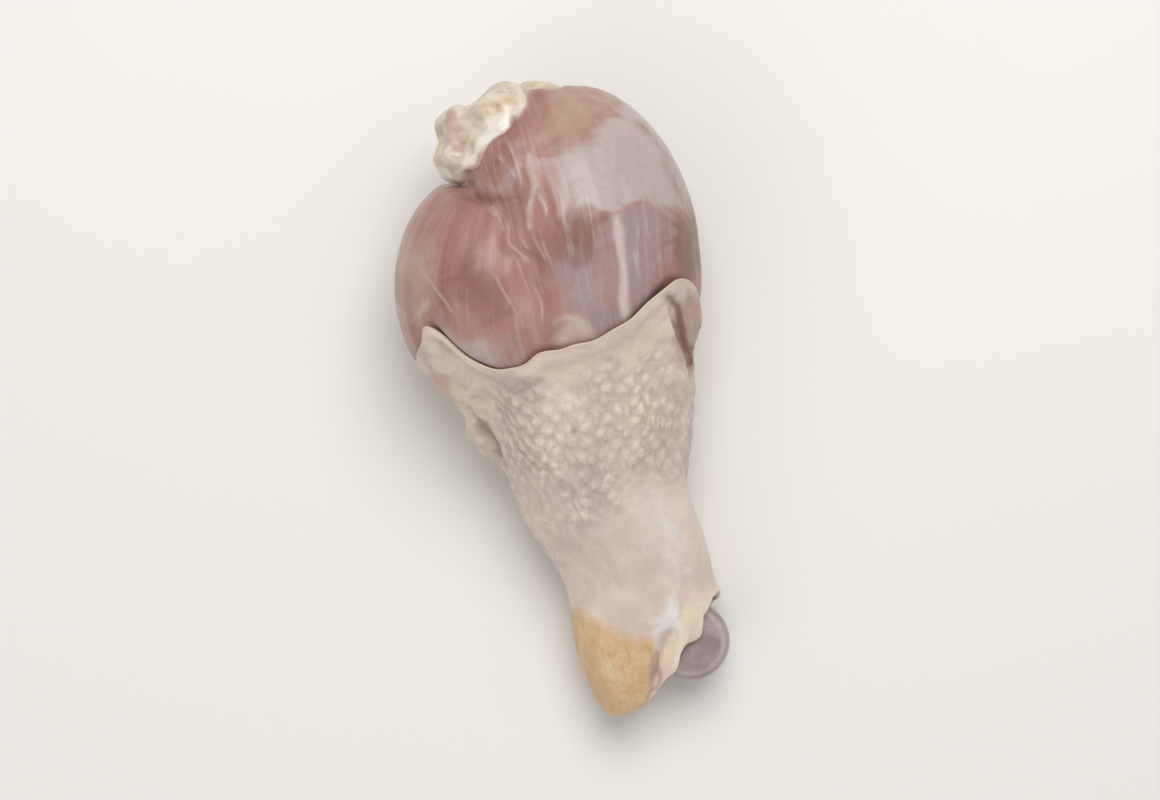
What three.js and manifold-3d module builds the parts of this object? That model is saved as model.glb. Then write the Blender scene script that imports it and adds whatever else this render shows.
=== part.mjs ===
// A raw chicken drumstick, lying on a flat surface with its bare meat and the cut edge of its skin upwards.
// Millimetres. +Y runs along the shin bone from the hock to the knee, +Z is up, and the surface is z = 0.
// Every form is a field: a function that is negative inside the form and grows by about 1 for each
// millimetre outside it. A point of its surface is found along a ray that starts inside, on the bone's
// line. A piece that others lie in is then cut to fit them, with a small gap.

import * as THREE from "three";
import Module from "manifold-3d";

const wasm = await Module();
wasm.setup();

// Driving dimensions.
const SKIN_THICKNESS = 1.2;
const SKIN_GAP = 0.6; // between the skin and the flesh under it
const FIT_GAP = 0.4; // between two pieces that lie one inside the other
const SETTLED = SKIN_GAP + SKIN_THICKNESS; // the height of the flesh, on the skin under it
const BED_BLEND = 2; // rounding where soft flesh turns up from the surface that it lies on

// The muscles: the calf and the shin belly side by side, a small head by the knee, and the mass round the
// joint. `lean` turns a form about Z, in degrees.
const CALF = { centre: [-11.2, 26, 22.4], radii: [18.6, 22.5, 21.8], lean: -12 };
const SHIN = { centre: [7.7, 31, 22.6], radii: [22.1, 30, 23], lean: 0 };
const KNEE_MUSCLE = { centre: [-2.5, 46, 32], radii: [7.5, 10.5, 10], lean: -20 };
const JOINT = { centre: [1.5, 44, 23], radii: [15, 22, 18], lean: 0 };
const MUSCLE_BLEND = 2.5; // width of the groove between two muscles
const SKIN_BLEND = 9; // width over which the skin bridges a hollow

// The cut through the knee: a point on it, and how far it leans out towards its top, in degrees.
const KNEE_CUT = { y: 59.4, z: 22, lean: 8, blend: 3.5 };

// The shank under the skin, as cross-sections: y, middle x, middle z, half width, half depth.
const SHANK = [
  [-62, -5.2, 10.2, 1, 1],
  [-54, -1.6, 10.2, 5, 5],
  [-45, 2.2, 10.6, 11.4, 8.8],
  [-38, 2.9, 11.4, 12.1, 9.6],
  [-30, 2.2, 12.7, 12.8, 10.8],
  [-20, 0.1, 14.7, 14.3, 12.4],
  [-10, 1.2, 16.8, 16.6, 14.6],
  [0, 1.1, 18.8, 19.4, 17.2],
  [16, 0, 21.6, 23.4, 20.4],
];
const SHANK_FOOT = -44; // the meat ends here, and the gristle of the heel starts

// The skin holds in the flesh under its knee edge, so that the bare flesh swells over the edge: how far,
// where that starts and is full, how far before the edge and over which length it lets go, and the direction
// that is free of it.
const SQUEEZE = { depth: 2.4, start: -8, full: 8, early: 3.5, letGo: 5, free: 270, freeWidth: 55 };

// The hock: the heel behind the joint, and the pulley of the shin bone with a condyle on each side.
const HEEL = { centre: [-2.6, -46.5, 10.2], radii: [7, 14.2, 7.4], lean: -10 };
const PULLEY = { centre: [9.4, -50, 10.2], radius: 7.5, thickness: 8, spacing: 7, groove: 4 };
const HEEL_BLEND = 5; // between the heel and the shank
const HOCK_BLEND = 3; // between the heel and the pulley

// The shin bone's shaft, which leans over to the pulley along its last stretch, and its knee head, which ends
// in a flat plateau.
const SHAFT = { radius: 4.2, lean: 16, flare: 6 };
const KNEE_HEAD = { centre: [2.5, 49.5, 19.6], radii: [12.5, 13, 10], lean: 0 };
const PLATEAU = { y: 60.4, blend: 3 };

// Fat at the knee, in lobes.
const KNEE_FAT = [
  { centre: [-8.6, 54.9, 29.5], radii: [5.6, 5.6, 6], lean: 20 },
  { centre: [-11.2, 51, 30.5], radii: [4.5, 4.6, 6], lean: -20 },
  { centre: [-2.6, 56.6, 33], radii: [6.6, 4.4, 7], lean: 20 },
  { centre: [4.6, 58.6, 28], radii: [5.6, 2.6, 5], lean: 0 },
];
const FAT_MIDDLE = [-7.5, 54.6, 30.5];
const FAT_BLEND = 1.5;

// Directions round the bone's line are in degrees: 0 is +X, 90 is up, 180 is -X and 270 is down.

// The skin's cut edge towards the knee, as direction and y. It has an ear, a tab, and a long tongue below.
const KNEE_EDGE = [
  [0, 9],
  [12, 12],
  [25, 16.4],
  [33, 18.1],
  [40, 18],
  [50, 15.4],
  [60, 12.7],
  [74, 11.2],
  [90, 10.6],
  [106, 10.8],
  [119, 9.3],
  [128, 10.2],
  [136, 13.8],
  [144, 20.6],
  [149, 18.4],
  [156, 16.8],
  [167, 15.8],
  [180, 15],
  [200, 15],
  [225, 22],
  [250, 38],
  [270, 43],
  [290, 37],
  [315, 21],
  [340, 10.5],
];

// The skin's cut edge at the hock. Each direction that a lengthwise line of the skin comes from is followed
// by the direction and y where the line ends, because a flap of the skin reaches over the pulley.
const HOCK_EDGE = [
  [-90, -90, -52],
  [-40, -40, -46],
  [-12, -12, -43.4],
  [4, 10, -42.4],
  [14, 24, -42.8],
  [22, 31, -44],
  [30, 36, -45.2],
  [37, 38.5, -46],
  [43, 38.6, -47.6],
  [48, 39.4, -49.4],
  [53, 44.5, -49.9],
  [58, 49.4, -50.2],
  [63, 51, -51.8],
  [69, 49.6, -53.4],
  [75, 47.8, -54.9],
  [81, 49, -55.7],
  [87, 49.5, -56.6],
  [94, 51, -58],
  [103, 62, -59.8],
  [113, 84, -60.5],
  [130, 119, -61],
  [155, 152, -60.8],
  [180, 180, -60.2],
  [225, 225, -57],
];
const FLAP_SHARE = 0.25; // of a line's length, over which it turns to where it ends

// Folds where loose skin stands off the flesh, each from one y and direction to another, with its half
// width in degrees and its height.
const FOLDS = [
  { from: [20, 46], to: [-3, 25], width: 8, height: 1.4 }, // the ear's pleat, towards the middle
  { from: [17, 20], to: [-6, -5], width: 7, height: 0.5 }, // the ear's pleat, at the side
  { from: [26, 34], to: [16, 33], width: 14, height: 1.1 }, // the ear's tip
  { from: [12, 168], to: [-1, 177], width: 9, height: 0.8 }, // the tab's back
  { from: [1, 174], to: [-7, 178], width: 9, height: 2.3 }, // the roll at the tab's foot
  { from: [26, 143], to: [13, 154], width: 10, height: 1 }, // the tab's tip
  { from: [17, 208], to: [-12, 204], width: 10, height: 0.7 },
  { from: [30, 318], to: [-10, 325], width: 12, height: 0.8 },
];
const FOLD_END = 3; // length over which a fold dies away

// Resolution.
const MEAT_AROUND = 50;
const MEAT_ROWS = 35;
const SKIN_AROUND = 66;
const SKIN_ROWS = 23;
const LINING_ROWS = 14;
const BONE_AROUND = 18;
const BONE_ROWS = 31;
const GRISTLE_AROUND = 24;
const GRISTLE_ROWS = 9;
const FAT_AROUND = 22;
const FAT_ROWS = 13;

const { clamp, lerp, smoothstep, degToRad, radToDeg } = THREE.MathUtils;

/** Smooth interpolation of rows that start with the value they are placed by. */
function sections(rows) {
  const places = rows.map((row) => row[0]);
  const values = rows.flatMap((row) => row.slice(1));
  const through = new THREE.CubicInterpolant(places, values, rows[0].length - 1);
  return (place) => [...through.evaluate(place)];
}

/** The same for an edge that runs round the bone's line and meets itself. */
function edge(points) {
  const turned = (turn) => points.map(([angle, y]) => [angle + turn, y]);
  const through = sections([...turned(-360), ...turned(0), ...turned(360)]);
  return (angle) => through(angle)[0];
}

const shankAt = sections(SHANK);
const shankTop = SHANK.at(-1)[0];
const kneeEdge = edge(KNEE_EDGE);
const hockEdge = sections(
  [-360, 0, 360].flatMap((turn) => HOCK_EDGE.map(([start, end, y]) => [start + turn, end + turn, y])),
);

/** A bell round the bone's line: 1 in the direction `middle`, and about a third at `width` from it. */
function bellRound(angle, middle, width) {
  const turn = ((((angle - middle) % 360) + 540) % 360) - 180;
  return Math.exp(-((turn / width) ** 2));
}

/** The point of the bone's line at y: the middle of the shank, then straight on to the middle of the knee. */
function boneLine(y) {
  const [x, z] = shankAt(Math.min(y, shankTop));
  const toKnee = smoothstep(y, shankTop, KNEE_HEAD.centre[1]);
  return new THREE.Vector3(
    lerp(x, KNEE_HEAD.centre[0], toKnee),
    y,
    lerp(z, KNEE_HEAD.centre[2], toKnee),
  );
}

/** Two fields joined, with the corner between them filled over `blend`. */
function softMin(a, b, blend) {
  const near = Math.max(blend - Math.abs(a - b), 0) / blend;
  return Math.min(a, b) - (near * near * blend) / 4;
}

/** What two fields share, with the corner rounded over `blend`. */
const softMax = (a, b, blend) => -softMin(-a, -b, blend);

function ellipsoid({ centre, radii, lean }) {
  const [rx, ry, rz] = radii;
  const along = Math.cos(degToRad(lean));
  const across = Math.sin(degToRad(lean));
  return (p) => {
    const dx = p.x - centre[0];
    const dy = p.y - centre[1];
    const x = along * dx + across * dy;
    const y = along * dy - across * dx;
    const z = p.z - centre[2];
    const share = Math.hypot(x / rx, y / ry, z / rz);
    const slope = Math.hypot(x / rx ** 2, y / ry ** 2, z / rz ** 2);
    return slope < 1e-9 ? -Math.min(...radii) : (share * (share - 1)) / slope;
  };
}

const joined = (fields, blend) => (p) =>
  fields.map((field) => field(p)).reduce((a, b) => softMin(a, b, blend));

/** The shank: elliptic cross-sections that follow the bone's line. */
function shank(p) {
  const [x, z, halfWidth, halfDepth] = shankAt(p.y);
  const section = ellipsoid({ centre: [x, p.y, z], radii: [halfWidth, 1, halfDepth], lean: 0 });
  return Math.max(section(p), p.y - shankTop);
}

/** Outside the cut through the knee this is positive. */
function kneeCut(p) {
  const lean = degToRad(KNEE_CUT.lean);
  return (p.y - KNEE_CUT.y) * Math.cos(lean) - (p.z - KNEE_CUT.z) * Math.sin(lean);
}

/** How far the skin holds the flesh in at a point. */
function squeeze(p) {
  const middle = boneLine(p.y);
  const angle = radToDeg(Math.atan2(p.z - middle.z, p.x - middle.x));
  const letGoFrom = kneeEdge(angle) - SQUEEZE.early;
  const tightened = smoothstep(p.y, SQUEEZE.start, SQUEEZE.full);
  const letGo = smoothstep(p.y, letGoFrom, letGoFrom + SQUEEZE.letGo);
  const free = bellRound(angle, SQUEEZE.free, SQUEEZE.freeWidth);
  return SQUEEZE.depth * tightened * (1 - letGo) * (1 - free);
}

/** Flesh that rests on the skin below it, flattened where it lies. */
const bedded = (field) => (p) => softMax(field(p), SETTLED - p.z, BED_BLEND);

const muscles = [CALF, SHIN, KNEE_MUSCLE, JOINT].map(ellipsoid);
const bellies = (blend) => (p) => softMax(joined(muscles, blend)(p), kneeCut(p), KNEE_CUT.blend);
const bareField = joined([bellies(MUSCLE_BLEND), shank], SKIN_BLEND);
const meatField = bedded((p) => bareField(p) + squeeze(p));

const condyles = [-0.5, 0.5].map((side) =>
  ellipsoid({
    centre: [PULLEY.centre[0], PULLEY.centre[1], PULLEY.centre[2] + side * PULLEY.spacing],
    radii: [PULLEY.radius, PULLEY.radius, PULLEY.thickness / 2],
    lean: 0,
  }),
);
const pulley = joined(condyles, PULLEY.groove);
const heel = ellipsoid(HEEL);

/** What the skin lies on. */
const limbField = joined([bellies(SKIN_BLEND), shank], SKIN_BLEND);
const coveredField = bedded((p) => {
  const hock = softMin(heel(p), pulley(p), HOCK_BLEND);
  return softMin(limbField(p) + squeeze(p), hock, HEEL_BLEND);
});

/** The middle of the bone at y: the bone's line, but in the pulley at its hock end. */
function boneMiddle(y) {
  const middle = boneLine(clamp(y, PULLEY.centre[1], KNEE_HEAD.centre[1]));
  const toPulley = 1 - smoothstep(middle.y, PULLEY.centre[1], PULLEY.centre[1] + SHAFT.lean);
  middle.x = lerp(middle.x, PULLEY.centre[0], toPulley);
  return middle;
}

const kneeHead = ellipsoid(KNEE_HEAD);
const shaft = (p) => p.distanceTo(boneMiddle(p.y)) - SHAFT.radius;
const wholeBone = joined([shaft, pulley, kneeHead], SHAFT.flare);
const boneField = (p) => softMax(wholeBone(p), p.y - PLATEAU.y, PLATEAU.blend);

const fatField = joined(KNEE_FAT.map(ellipsoid), FAT_BLEND);

/** The gristle and tendon that fill the heel under the skin, from the foot of the meat. */
function gristleField(p) {
  const filling = Math.max(softMin(heel(p), shank(p), HEEL_BLEND), coveredField(p));
  return Math.max(filling, p.y - SHANK_FOOT + FIT_GAP);
}

/** The point where `field` reaches `level` on a ray, found by halving. */
function reach(field, origin, direction, level) {
  const farEnough = 90;
  let inside = 0;
  let outside = farEnough;
  const p = new THREE.Vector3();
  const at = (distance) => p.copy(direction).multiplyScalar(distance).add(origin);
  for (let halving = 0; halving < 40; halving++) {
    const middle = (inside + outside) / 2;
    if (field(at(middle)) < level) inside = middle;
    else outside = middle;
  }
  return at(inside).clone();
}

/** A direction round the bone's line, raised towards the knee by `rise`. Both are in degrees. */
function rayAt(angle, rise = 0) {
  const out = Math.cos(degToRad(rise));
  return new THREE.Vector3(
    Math.cos(degToRad(angle)) * out,
    Math.sin(degToRad(rise)),
    Math.sin(degToRad(angle)) * out,
  );
}

const shares = (count) => Array.from({ length: count }, (_, i) => i / (count - 1));
const directions = (count) => Array.from({ length: count }, (_, j) => (360 * j) / count);

/** Rings of points on a field's level. `ray` gives the origin and the rise of a share and a direction. */
const rings = (field, level, rows, around, ray) =>
  shares(rows).map((share) =>
    directions(around).map((angle) => {
      const { origin, rise } = ray(share, angle);
      return reach(field, origin, rayAt(angle, rise), level);
    }),
  );

/**
 * A closed mesh from rings of points, with each cell split along its shorter diagonal. Either both ends are
 * closed by a point, or the last ring meets the first.
 */
function ringMesh(ringList, ends) {
  const columns = ringList[0].length;
  const points = ringList.flat();
  const index = [];
  const strips = ends ? ringList.length - 1 : ringList.length;
  for (let i = 0; i < strips; i++) {
    const low = i * columns;
    const high = ((i + 1) % ringList.length) * columns;
    for (let j = 0; j < columns; j++) {
      const k = (j + 1) % columns;
      const [a, b, c, d] = [low + j, high + j, high + k, low + k];
      const straight = points[a].distanceTo(points[c]) < points[b].distanceTo(points[d]);
      index.push(...(straight ? [a, b, c, a, c, d] : [b, c, d, b, d, a]));
    }
  }
  if (ends) {
    const close = (ring, start, turn) => {
      const middle = ring.reduce((sum, p) => sum.add(p), new THREE.Vector3());
      const tip = points.push(middle.divideScalar(columns)) - 1;
      for (let j = 0; j < columns; j++) {
        const pair = [start + j, start + ((j + 1) % columns)];
        index.push(tip, ...(turn ? pair : pair.reverse()));
      }
    };
    close(ringList[0], 0, true);
    close(ringList.at(-1), (ringList.length - 1) * columns, false);
  }
  const geometry = new THREE.BufferGeometry().setFromPoints(points);
  return geometry.setIndex(index);
}

/** A closed mesh as a solid that can be cut. */
function solid(geometry) {
  const vertProperties = geometry.attributes.position.array;
  const triVerts = Uint32Array.from(geometry.index.array);
  return new wasm.Manifold(new wasm.Mesh({ numProp: 3, vertProperties, triVerts }));
}

/** A mesh less the meshes that lie in it. */
function cut(geometry, ...others) {
  const left = others.reduce((rest, other) => rest.subtract(solid(other)), solid(geometry));
  const { vertProperties, triVerts } = left.getMesh();
  const made = new THREE.BufferGeometry();
  made.setAttribute("position", new THREE.BufferAttribute(vertProperties, 3));
  return made.setIndex(new THREE.BufferAttribute(triVerts, 1));
}

/** The meat: straight across along the shank and most of the bulb, then fanned out over the knee end. */
function meat() {
  const fanStart = 30;
  const shareBelow = 0.58;
  const steepest = 84;
  const ray = (share) => {
    const below = Math.min(share / shareBelow, 1);
    const above = Math.max(share - shareBelow, 0) / (1 - shareBelow);
    return { origin: boneLine(lerp(SHANK_FOOT, fanStart, below)), rise: steepest * above };
  };
  return ringMesh(rings(meatField, 0, MEAT_ROWS, MEAT_AROUND, ray), true);
}

/** How far loose skin stands off the flesh. */
function skinLift(angle, y) {
  return FOLDS.reduce((sum, { from, to, width, height }) => {
    const along = clamp((from[0] - y) / (from[0] - to[0]), 0, 1);
    const ends = [to[0], from[0]].map((end) => smoothstep(y, end - FOLD_END, end + FOLD_END));
    return sum + height * ends[0] * (1 - ends[1]) * bellRound(angle, lerp(from[1], to[1], along), width);
  }, 0);
}

/** The skin: a sleeve from its hock edge to its knee edge, with an outer face and a lining. */
function skin() {
  const face = (rows, level, tuck) =>
    shares(rows).map((share) =>
      directions(SKIN_AROUND).map((start) => {
        const [end, low] = hockEdge(start);
        const y = lerp(low + tuck, kneeEdge(start) - tuck, share);
        const short = Math.max(1 - share / FLAP_SHARE, 0);
        const angle = lerp(start, end, short ** 2);
        return reach(coveredField, boneLine(y), rayAt(angle), level + skinLift(angle, y));
      }),
    );
  const outer = face(SKIN_ROWS, SETTLED, 0);
  const rounding = 0.4; // the lining's ends stay this far inside the outer face's, which slants the cut edges
  const lining = face(LINING_ROWS, SKIN_GAP, rounding).reverse();
  return ringMesh([...outer, ...lining], false);
}

/** The shin bone, with its knee head and the pulley of the hock. */
function shinBone(level = 0) {
  const ray = (share) => {
    const low = PULLEY.centre[1];
    const high = KNEE_HEAD.centre[1];
    const y = lerp(low, high, smoothstep(share, 0.2, 0.8));
    const steepest = 86;
    return { origin: boneMiddle(y), rise: steepest * (2 * share - 1) };
  };
  return ringMesh(rings(boneField, level, BONE_ROWS, BONE_AROUND, ray), true);
}

/** The gristle of the heel. */
function heelGristle() {
  const tip = HEEL.centre[1] - HEEL.radii[1] + 1;
  const ray = (share) => ({ origin: boneLine(lerp(tip, SHANK_FOOT - 1, share)), rise: 0 });
  return ringMesh(rings(gristleField, 0, GRISTLE_ROWS, GRISTLE_AROUND, ray), true);
}

/** The fat at the knee. */
function kneeFat(level = 0) {
  const origin = new THREE.Vector3(...FAT_MIDDLE);
  const steepest = 80;
  const ray = (share) => ({ origin, rise: steepest * (2 * share - 1) });
  return ringMesh(rings(fatField, level, FAT_ROWS, FAT_AROUND, ray), true);
}

function piece(name, geometry, color, roughness) {
  const material = new THREE.MeshStandardMaterial({ color, roughness, metalness: 0 });
  const mesh = new THREE.Mesh(geometry, material);
  mesh.name = name;
  return mesh;
}

const boneSpace = shinBone(FIT_GAP);
const fatSpace = kneeFat(FIT_GAP);

const drumstick = new THREE.Group();
drumstick.add(
  piece("meat", cut(meat(), boneSpace, fatSpace), 0xb57f72, 0.4),
  piece("skin", skin(), 0xdccab2, 0.45),
  piece("shin_bone", shinBone(), 0xc9bcc0, 0.3),
  piece("heel_gristle", cut(heelGristle(), boneSpace), 0xe0d2c0, 0.35),
  piece("knee_fat", cut(kneeFat(), boneSpace), 0xe8d6b4, 0.4),
);

export default drumstick;
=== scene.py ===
# A raw chicken drumstick on a pale table: bare muscle towards the knee, a sleeve of pimpled skin below it,
# the yellow skin of the hock, and the bare cartilage of both joints. Forms are worked out in millimetres,
# with +Y from the hock to the knee and +Z up, and meshes are written in metres.

import math

import bpy
import numpy as np
from bpy.props import FloatProperty, FloatVectorProperty, IntProperty, PointerProperty
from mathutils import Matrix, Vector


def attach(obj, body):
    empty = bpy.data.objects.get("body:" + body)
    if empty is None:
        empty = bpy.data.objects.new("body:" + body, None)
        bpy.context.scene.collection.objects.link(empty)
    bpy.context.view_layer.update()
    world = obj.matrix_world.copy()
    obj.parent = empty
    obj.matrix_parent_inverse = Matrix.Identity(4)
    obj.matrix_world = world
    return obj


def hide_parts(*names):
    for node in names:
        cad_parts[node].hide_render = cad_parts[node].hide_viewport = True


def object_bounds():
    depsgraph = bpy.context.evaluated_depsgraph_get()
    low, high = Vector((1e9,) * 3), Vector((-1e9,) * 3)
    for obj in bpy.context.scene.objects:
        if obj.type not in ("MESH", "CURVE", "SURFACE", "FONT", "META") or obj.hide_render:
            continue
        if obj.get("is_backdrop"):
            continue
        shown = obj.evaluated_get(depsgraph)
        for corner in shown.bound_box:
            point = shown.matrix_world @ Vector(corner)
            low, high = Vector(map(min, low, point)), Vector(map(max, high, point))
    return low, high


bl_info = {
    "name": "Raw chicken drumstick",
    "version": (1, 0, 0),
    "blender": (4, 5, 0),
    "location": "View3D > Sidebar > Drumstick",
    "description": "Dresses the solids of a raw chicken drumstick with muscle, skin, cartilage and fat",
    "category": "Add Mesh",
}

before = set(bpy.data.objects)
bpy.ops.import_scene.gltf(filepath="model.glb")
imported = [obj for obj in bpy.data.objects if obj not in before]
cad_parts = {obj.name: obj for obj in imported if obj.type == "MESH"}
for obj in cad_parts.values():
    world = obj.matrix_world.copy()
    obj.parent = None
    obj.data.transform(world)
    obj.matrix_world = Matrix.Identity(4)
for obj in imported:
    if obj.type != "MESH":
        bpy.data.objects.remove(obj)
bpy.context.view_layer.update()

MM = 0.001

# ---------------------------------------------------------------------------------------------------------
# The forms, in millimetres, as the solids have them. `lean` turns a form about Z, in degrees.

SKIN_THICKNESS = 1.2
SKIN_GAP = 0.6  # between the skin and the flesh under it
SETTLED = SKIN_GAP + SKIN_THICKNESS  # the height of the flesh, on the skin under it
BED_BLEND = 2.0

CALF = dict(centre=(-11.2, 26, 22.4), radii=(18.6, 22.5, 21.8), lean=-12)
SHIN = dict(centre=(7.7, 31, 22.6), radii=(22.1, 30, 23))
KNEE_MUSCLE = dict(centre=(-2.5, 46, 32), radii=(7.5, 10.5, 10), lean=-20)
JOINT = dict(centre=(1.5, 44, 23), radii=(15, 22, 18))
MUSCLE_BLEND = 2.5
SKIN_BLEND = 9.0
KNEE_CUT = dict(y=59.4, z=22, lean=8, blend=3.5)

# The shank's cross-sections: y, middle x, middle z, half width, half depth.
SHANK = [
    (-62, -5.2, 10.2, 1, 1),
    (-54, -1.6, 10.2, 5, 5),
    (-45, 2.2, 10.6, 11.4, 8.8),
    (-38, 2.9, 11.4, 12.1, 9.6),
    (-30, 2.2, 12.7, 12.8, 10.8),
    (-20, 0.1, 14.7, 14.3, 12.4),
    (-10, 1.2, 16.8, 16.6, 14.6),
    (0, 1.1, 18.8, 19.4, 17.2),
    (16, 0, 21.6, 23.4, 20.4),
]
SHANK_TOP = SHANK[-1][0]
SHANK_FOOT = -44.0
SHANK_BLEND = 4.0  # over which its last section ends in the bellies, where the solids have a corner

# The skin's edge holds the flesh in, and lets go of it over a short length.
SQUEEZE = dict(depth=2.4, start=-8, full=8, early=3.5, let_go=5, free=270, free_width=55)

HEEL = dict(centre=(-2.6, -46.5, 10.2), radii=(7, 14.2, 7.4), lean=-10)
PULLEY = dict(centre=(9.4, -50, 10.2), radius=7.5, thickness=8, spacing=7, groove=4)
# The gristle starts below the meat and ends short of the heel's tip by these, and its ends are rounded.
GRISTLE = dict(gap=0.4, short=0.5, blend=0.8)
HEEL_BLEND = 5.0
HOCK_BLEND = 3.0
SHAFT = dict(radius=4.2, lean=16, flare=6)
KNEE_HEAD = dict(centre=(2.5, 49.5, 19.6), radii=(12.5, 13, 10))
PLATEAU = dict(y=60.4, blend=3)

KNEE_FAT = [
    dict(centre=(-8.6, 54.9, 29.5), radii=(5.6, 5.6, 6), lean=20),
    dict(centre=(-11.2, 51, 30.5), radii=(4.5, 4.6, 6), lean=-20),
    dict(centre=(-2.6, 56.6, 33), radii=(6.6, 4.4, 7), lean=20),
    dict(centre=(4.6, 58.6, 28), radii=(5.6, 2.6, 5)),
]
FAT_MIDDLE = (-7.5, 54.6, 30.5)
FAT_BLEND = 1.5
FAT_VEIL = dict(centre=(-5.8, 52.2, 33), radii=(8.2, 2.6, 10), lean=30)  # a thin veil beside the lobes
THIN_FAT = dict(off_lobes=0.2, from_edge=0.8)  # flesh shows through past the lobes and by the veil's edge

# Directions round the bone's line are in degrees: 0 is +X, 90 is up, 180 is -X and 270 is down.
# The skin's cut edge towards the knee, as direction and y.
KNEE_EDGE = [
    (0, 9), (12, 12), (25, 16.4), (33, 18.1), (40, 18), (50, 15.4), (60, 12.7), (74, 11.2),
    (90, 10.6), (106, 10.8), (119, 9.3), (128, 10.2), (136, 13.8), (144, 20.6), (149, 18.4), (156, 16.8),
    (167, 15.8), (180, 15), (200, 15), (225, 22), (250, 38), (270, 43), (290, 37), (315, 21), (340, 10.5),
]
# The cut edge at the hock. Each direction that a lengthwise line of the skin starts from is followed by the
# direction and y where that line ends, because a flap of the skin reaches over the pulley.
HOCK_EDGE = [
    (-90, -90, -52), (-40, -40, -46), (-12, -12, -43.4), (4, 10, -42.4), (14, 24, -42.8),
    (22, 31, -44), (30, 36, -45.2), (37, 38.5, -46), (43, 38.6, -47.6), (48, 39.4, -49.4),
    (53, 44.5, -49.9), (58, 49.4, -50.2), (63, 51, -51.8), (69, 49.6, -53.4), (75, 47.8, -54.9),
    (81, 49, -55.7), (87, 49.5, -56.6), (94, 51, -58), (103, 62, -59.8), (113, 84, -60.5),
    (130, 119, -61), (155, 152, -60.8), (180, 180, -60.2), (225, 225, -57),
]
FLAP_SHARE = 0.25  # of a line's length, over which it turns to where it ends
# Where the yellow skin of the foot starts: below this y, round the shank.
YELLOW_EDGE = [
    (0, -70), (50, -68), (66, -62), (71.5, -57.5), (75, -53.4), (80, -50), (86, -47.6), (95, -46.6),
    (104, -46.6), (118, -45), (134, -42.4), (148, -40.4), (165, -38.8), (180, -38.4), (215, -41),
    (250, -44), (285, -52), (320, -66),
]

# Folds of loose skin, each from (y, direction) to (y, direction), with half width in degrees and height.
FOLDS = [
    ((20, 46), (-3, 25), 8, 1.4),
    ((17, 20), (-6, -5), 7, 0.5),
    ((26, 34), (16, 33), 14, 1.1),
    ((12, 168), (-1, 177), 9, 0.8),
    ((1, 174), (-7, 178), 9, 2.3),
    ((26, 143), (13, 154), 10, 1),
    ((17, 208), (-12, 204), 10, 0.7),
    ((30, 318), (-10, 325), 12, 0.8),
]
FOLD_END = 3.0
# What the solids leave out: the slit under the ear and the hollow over it, the crease beside the tab and the
# lip of the tab, the hollow between the heel and the pulley, and low ridges.
TAB_CREASE = ((4, 163), (-8, 168), 3.8, -1.5)
FINE_FOLDS = [
    ((13, 36), (-1, 8), 4.2, -2.4),
    ((17, 33), (6, 25), 8, -1.1),
    TAB_CREASE,
    ((10, 140), (-2, 172), 5, 0.9),
    ((22, 146), (9, 156), 5, 0.5),
    ((20, 144), (8, 147), 6, -0.6),
    ((-47, 66), (-58, 61), 9, -1.3),
    ((-44, 54), (-56, 51), 6, 0.4),
    ((-8, 128), (-17, 108), 7, 0.45),
    ((-2, 60), (-26, 70), 7, 0.35),
    ((-18, 110), (-36, 100), 9, 0.35),
    ((-24, 30), (-44, 40), 8, 0.4),
]

KNEE_DIP = [(-9.5, 44.2), (-4, 44.4), (0.4, 43), (-1.2, 40), (-5.3, 40.6), (-8.2, 43)]
EDGE_FAT = [(-0.9, 16.2), (2.4, 15.5), (5.6, 12.6), (2.1, 10.6), (-2.9, 12.2)]
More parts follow.
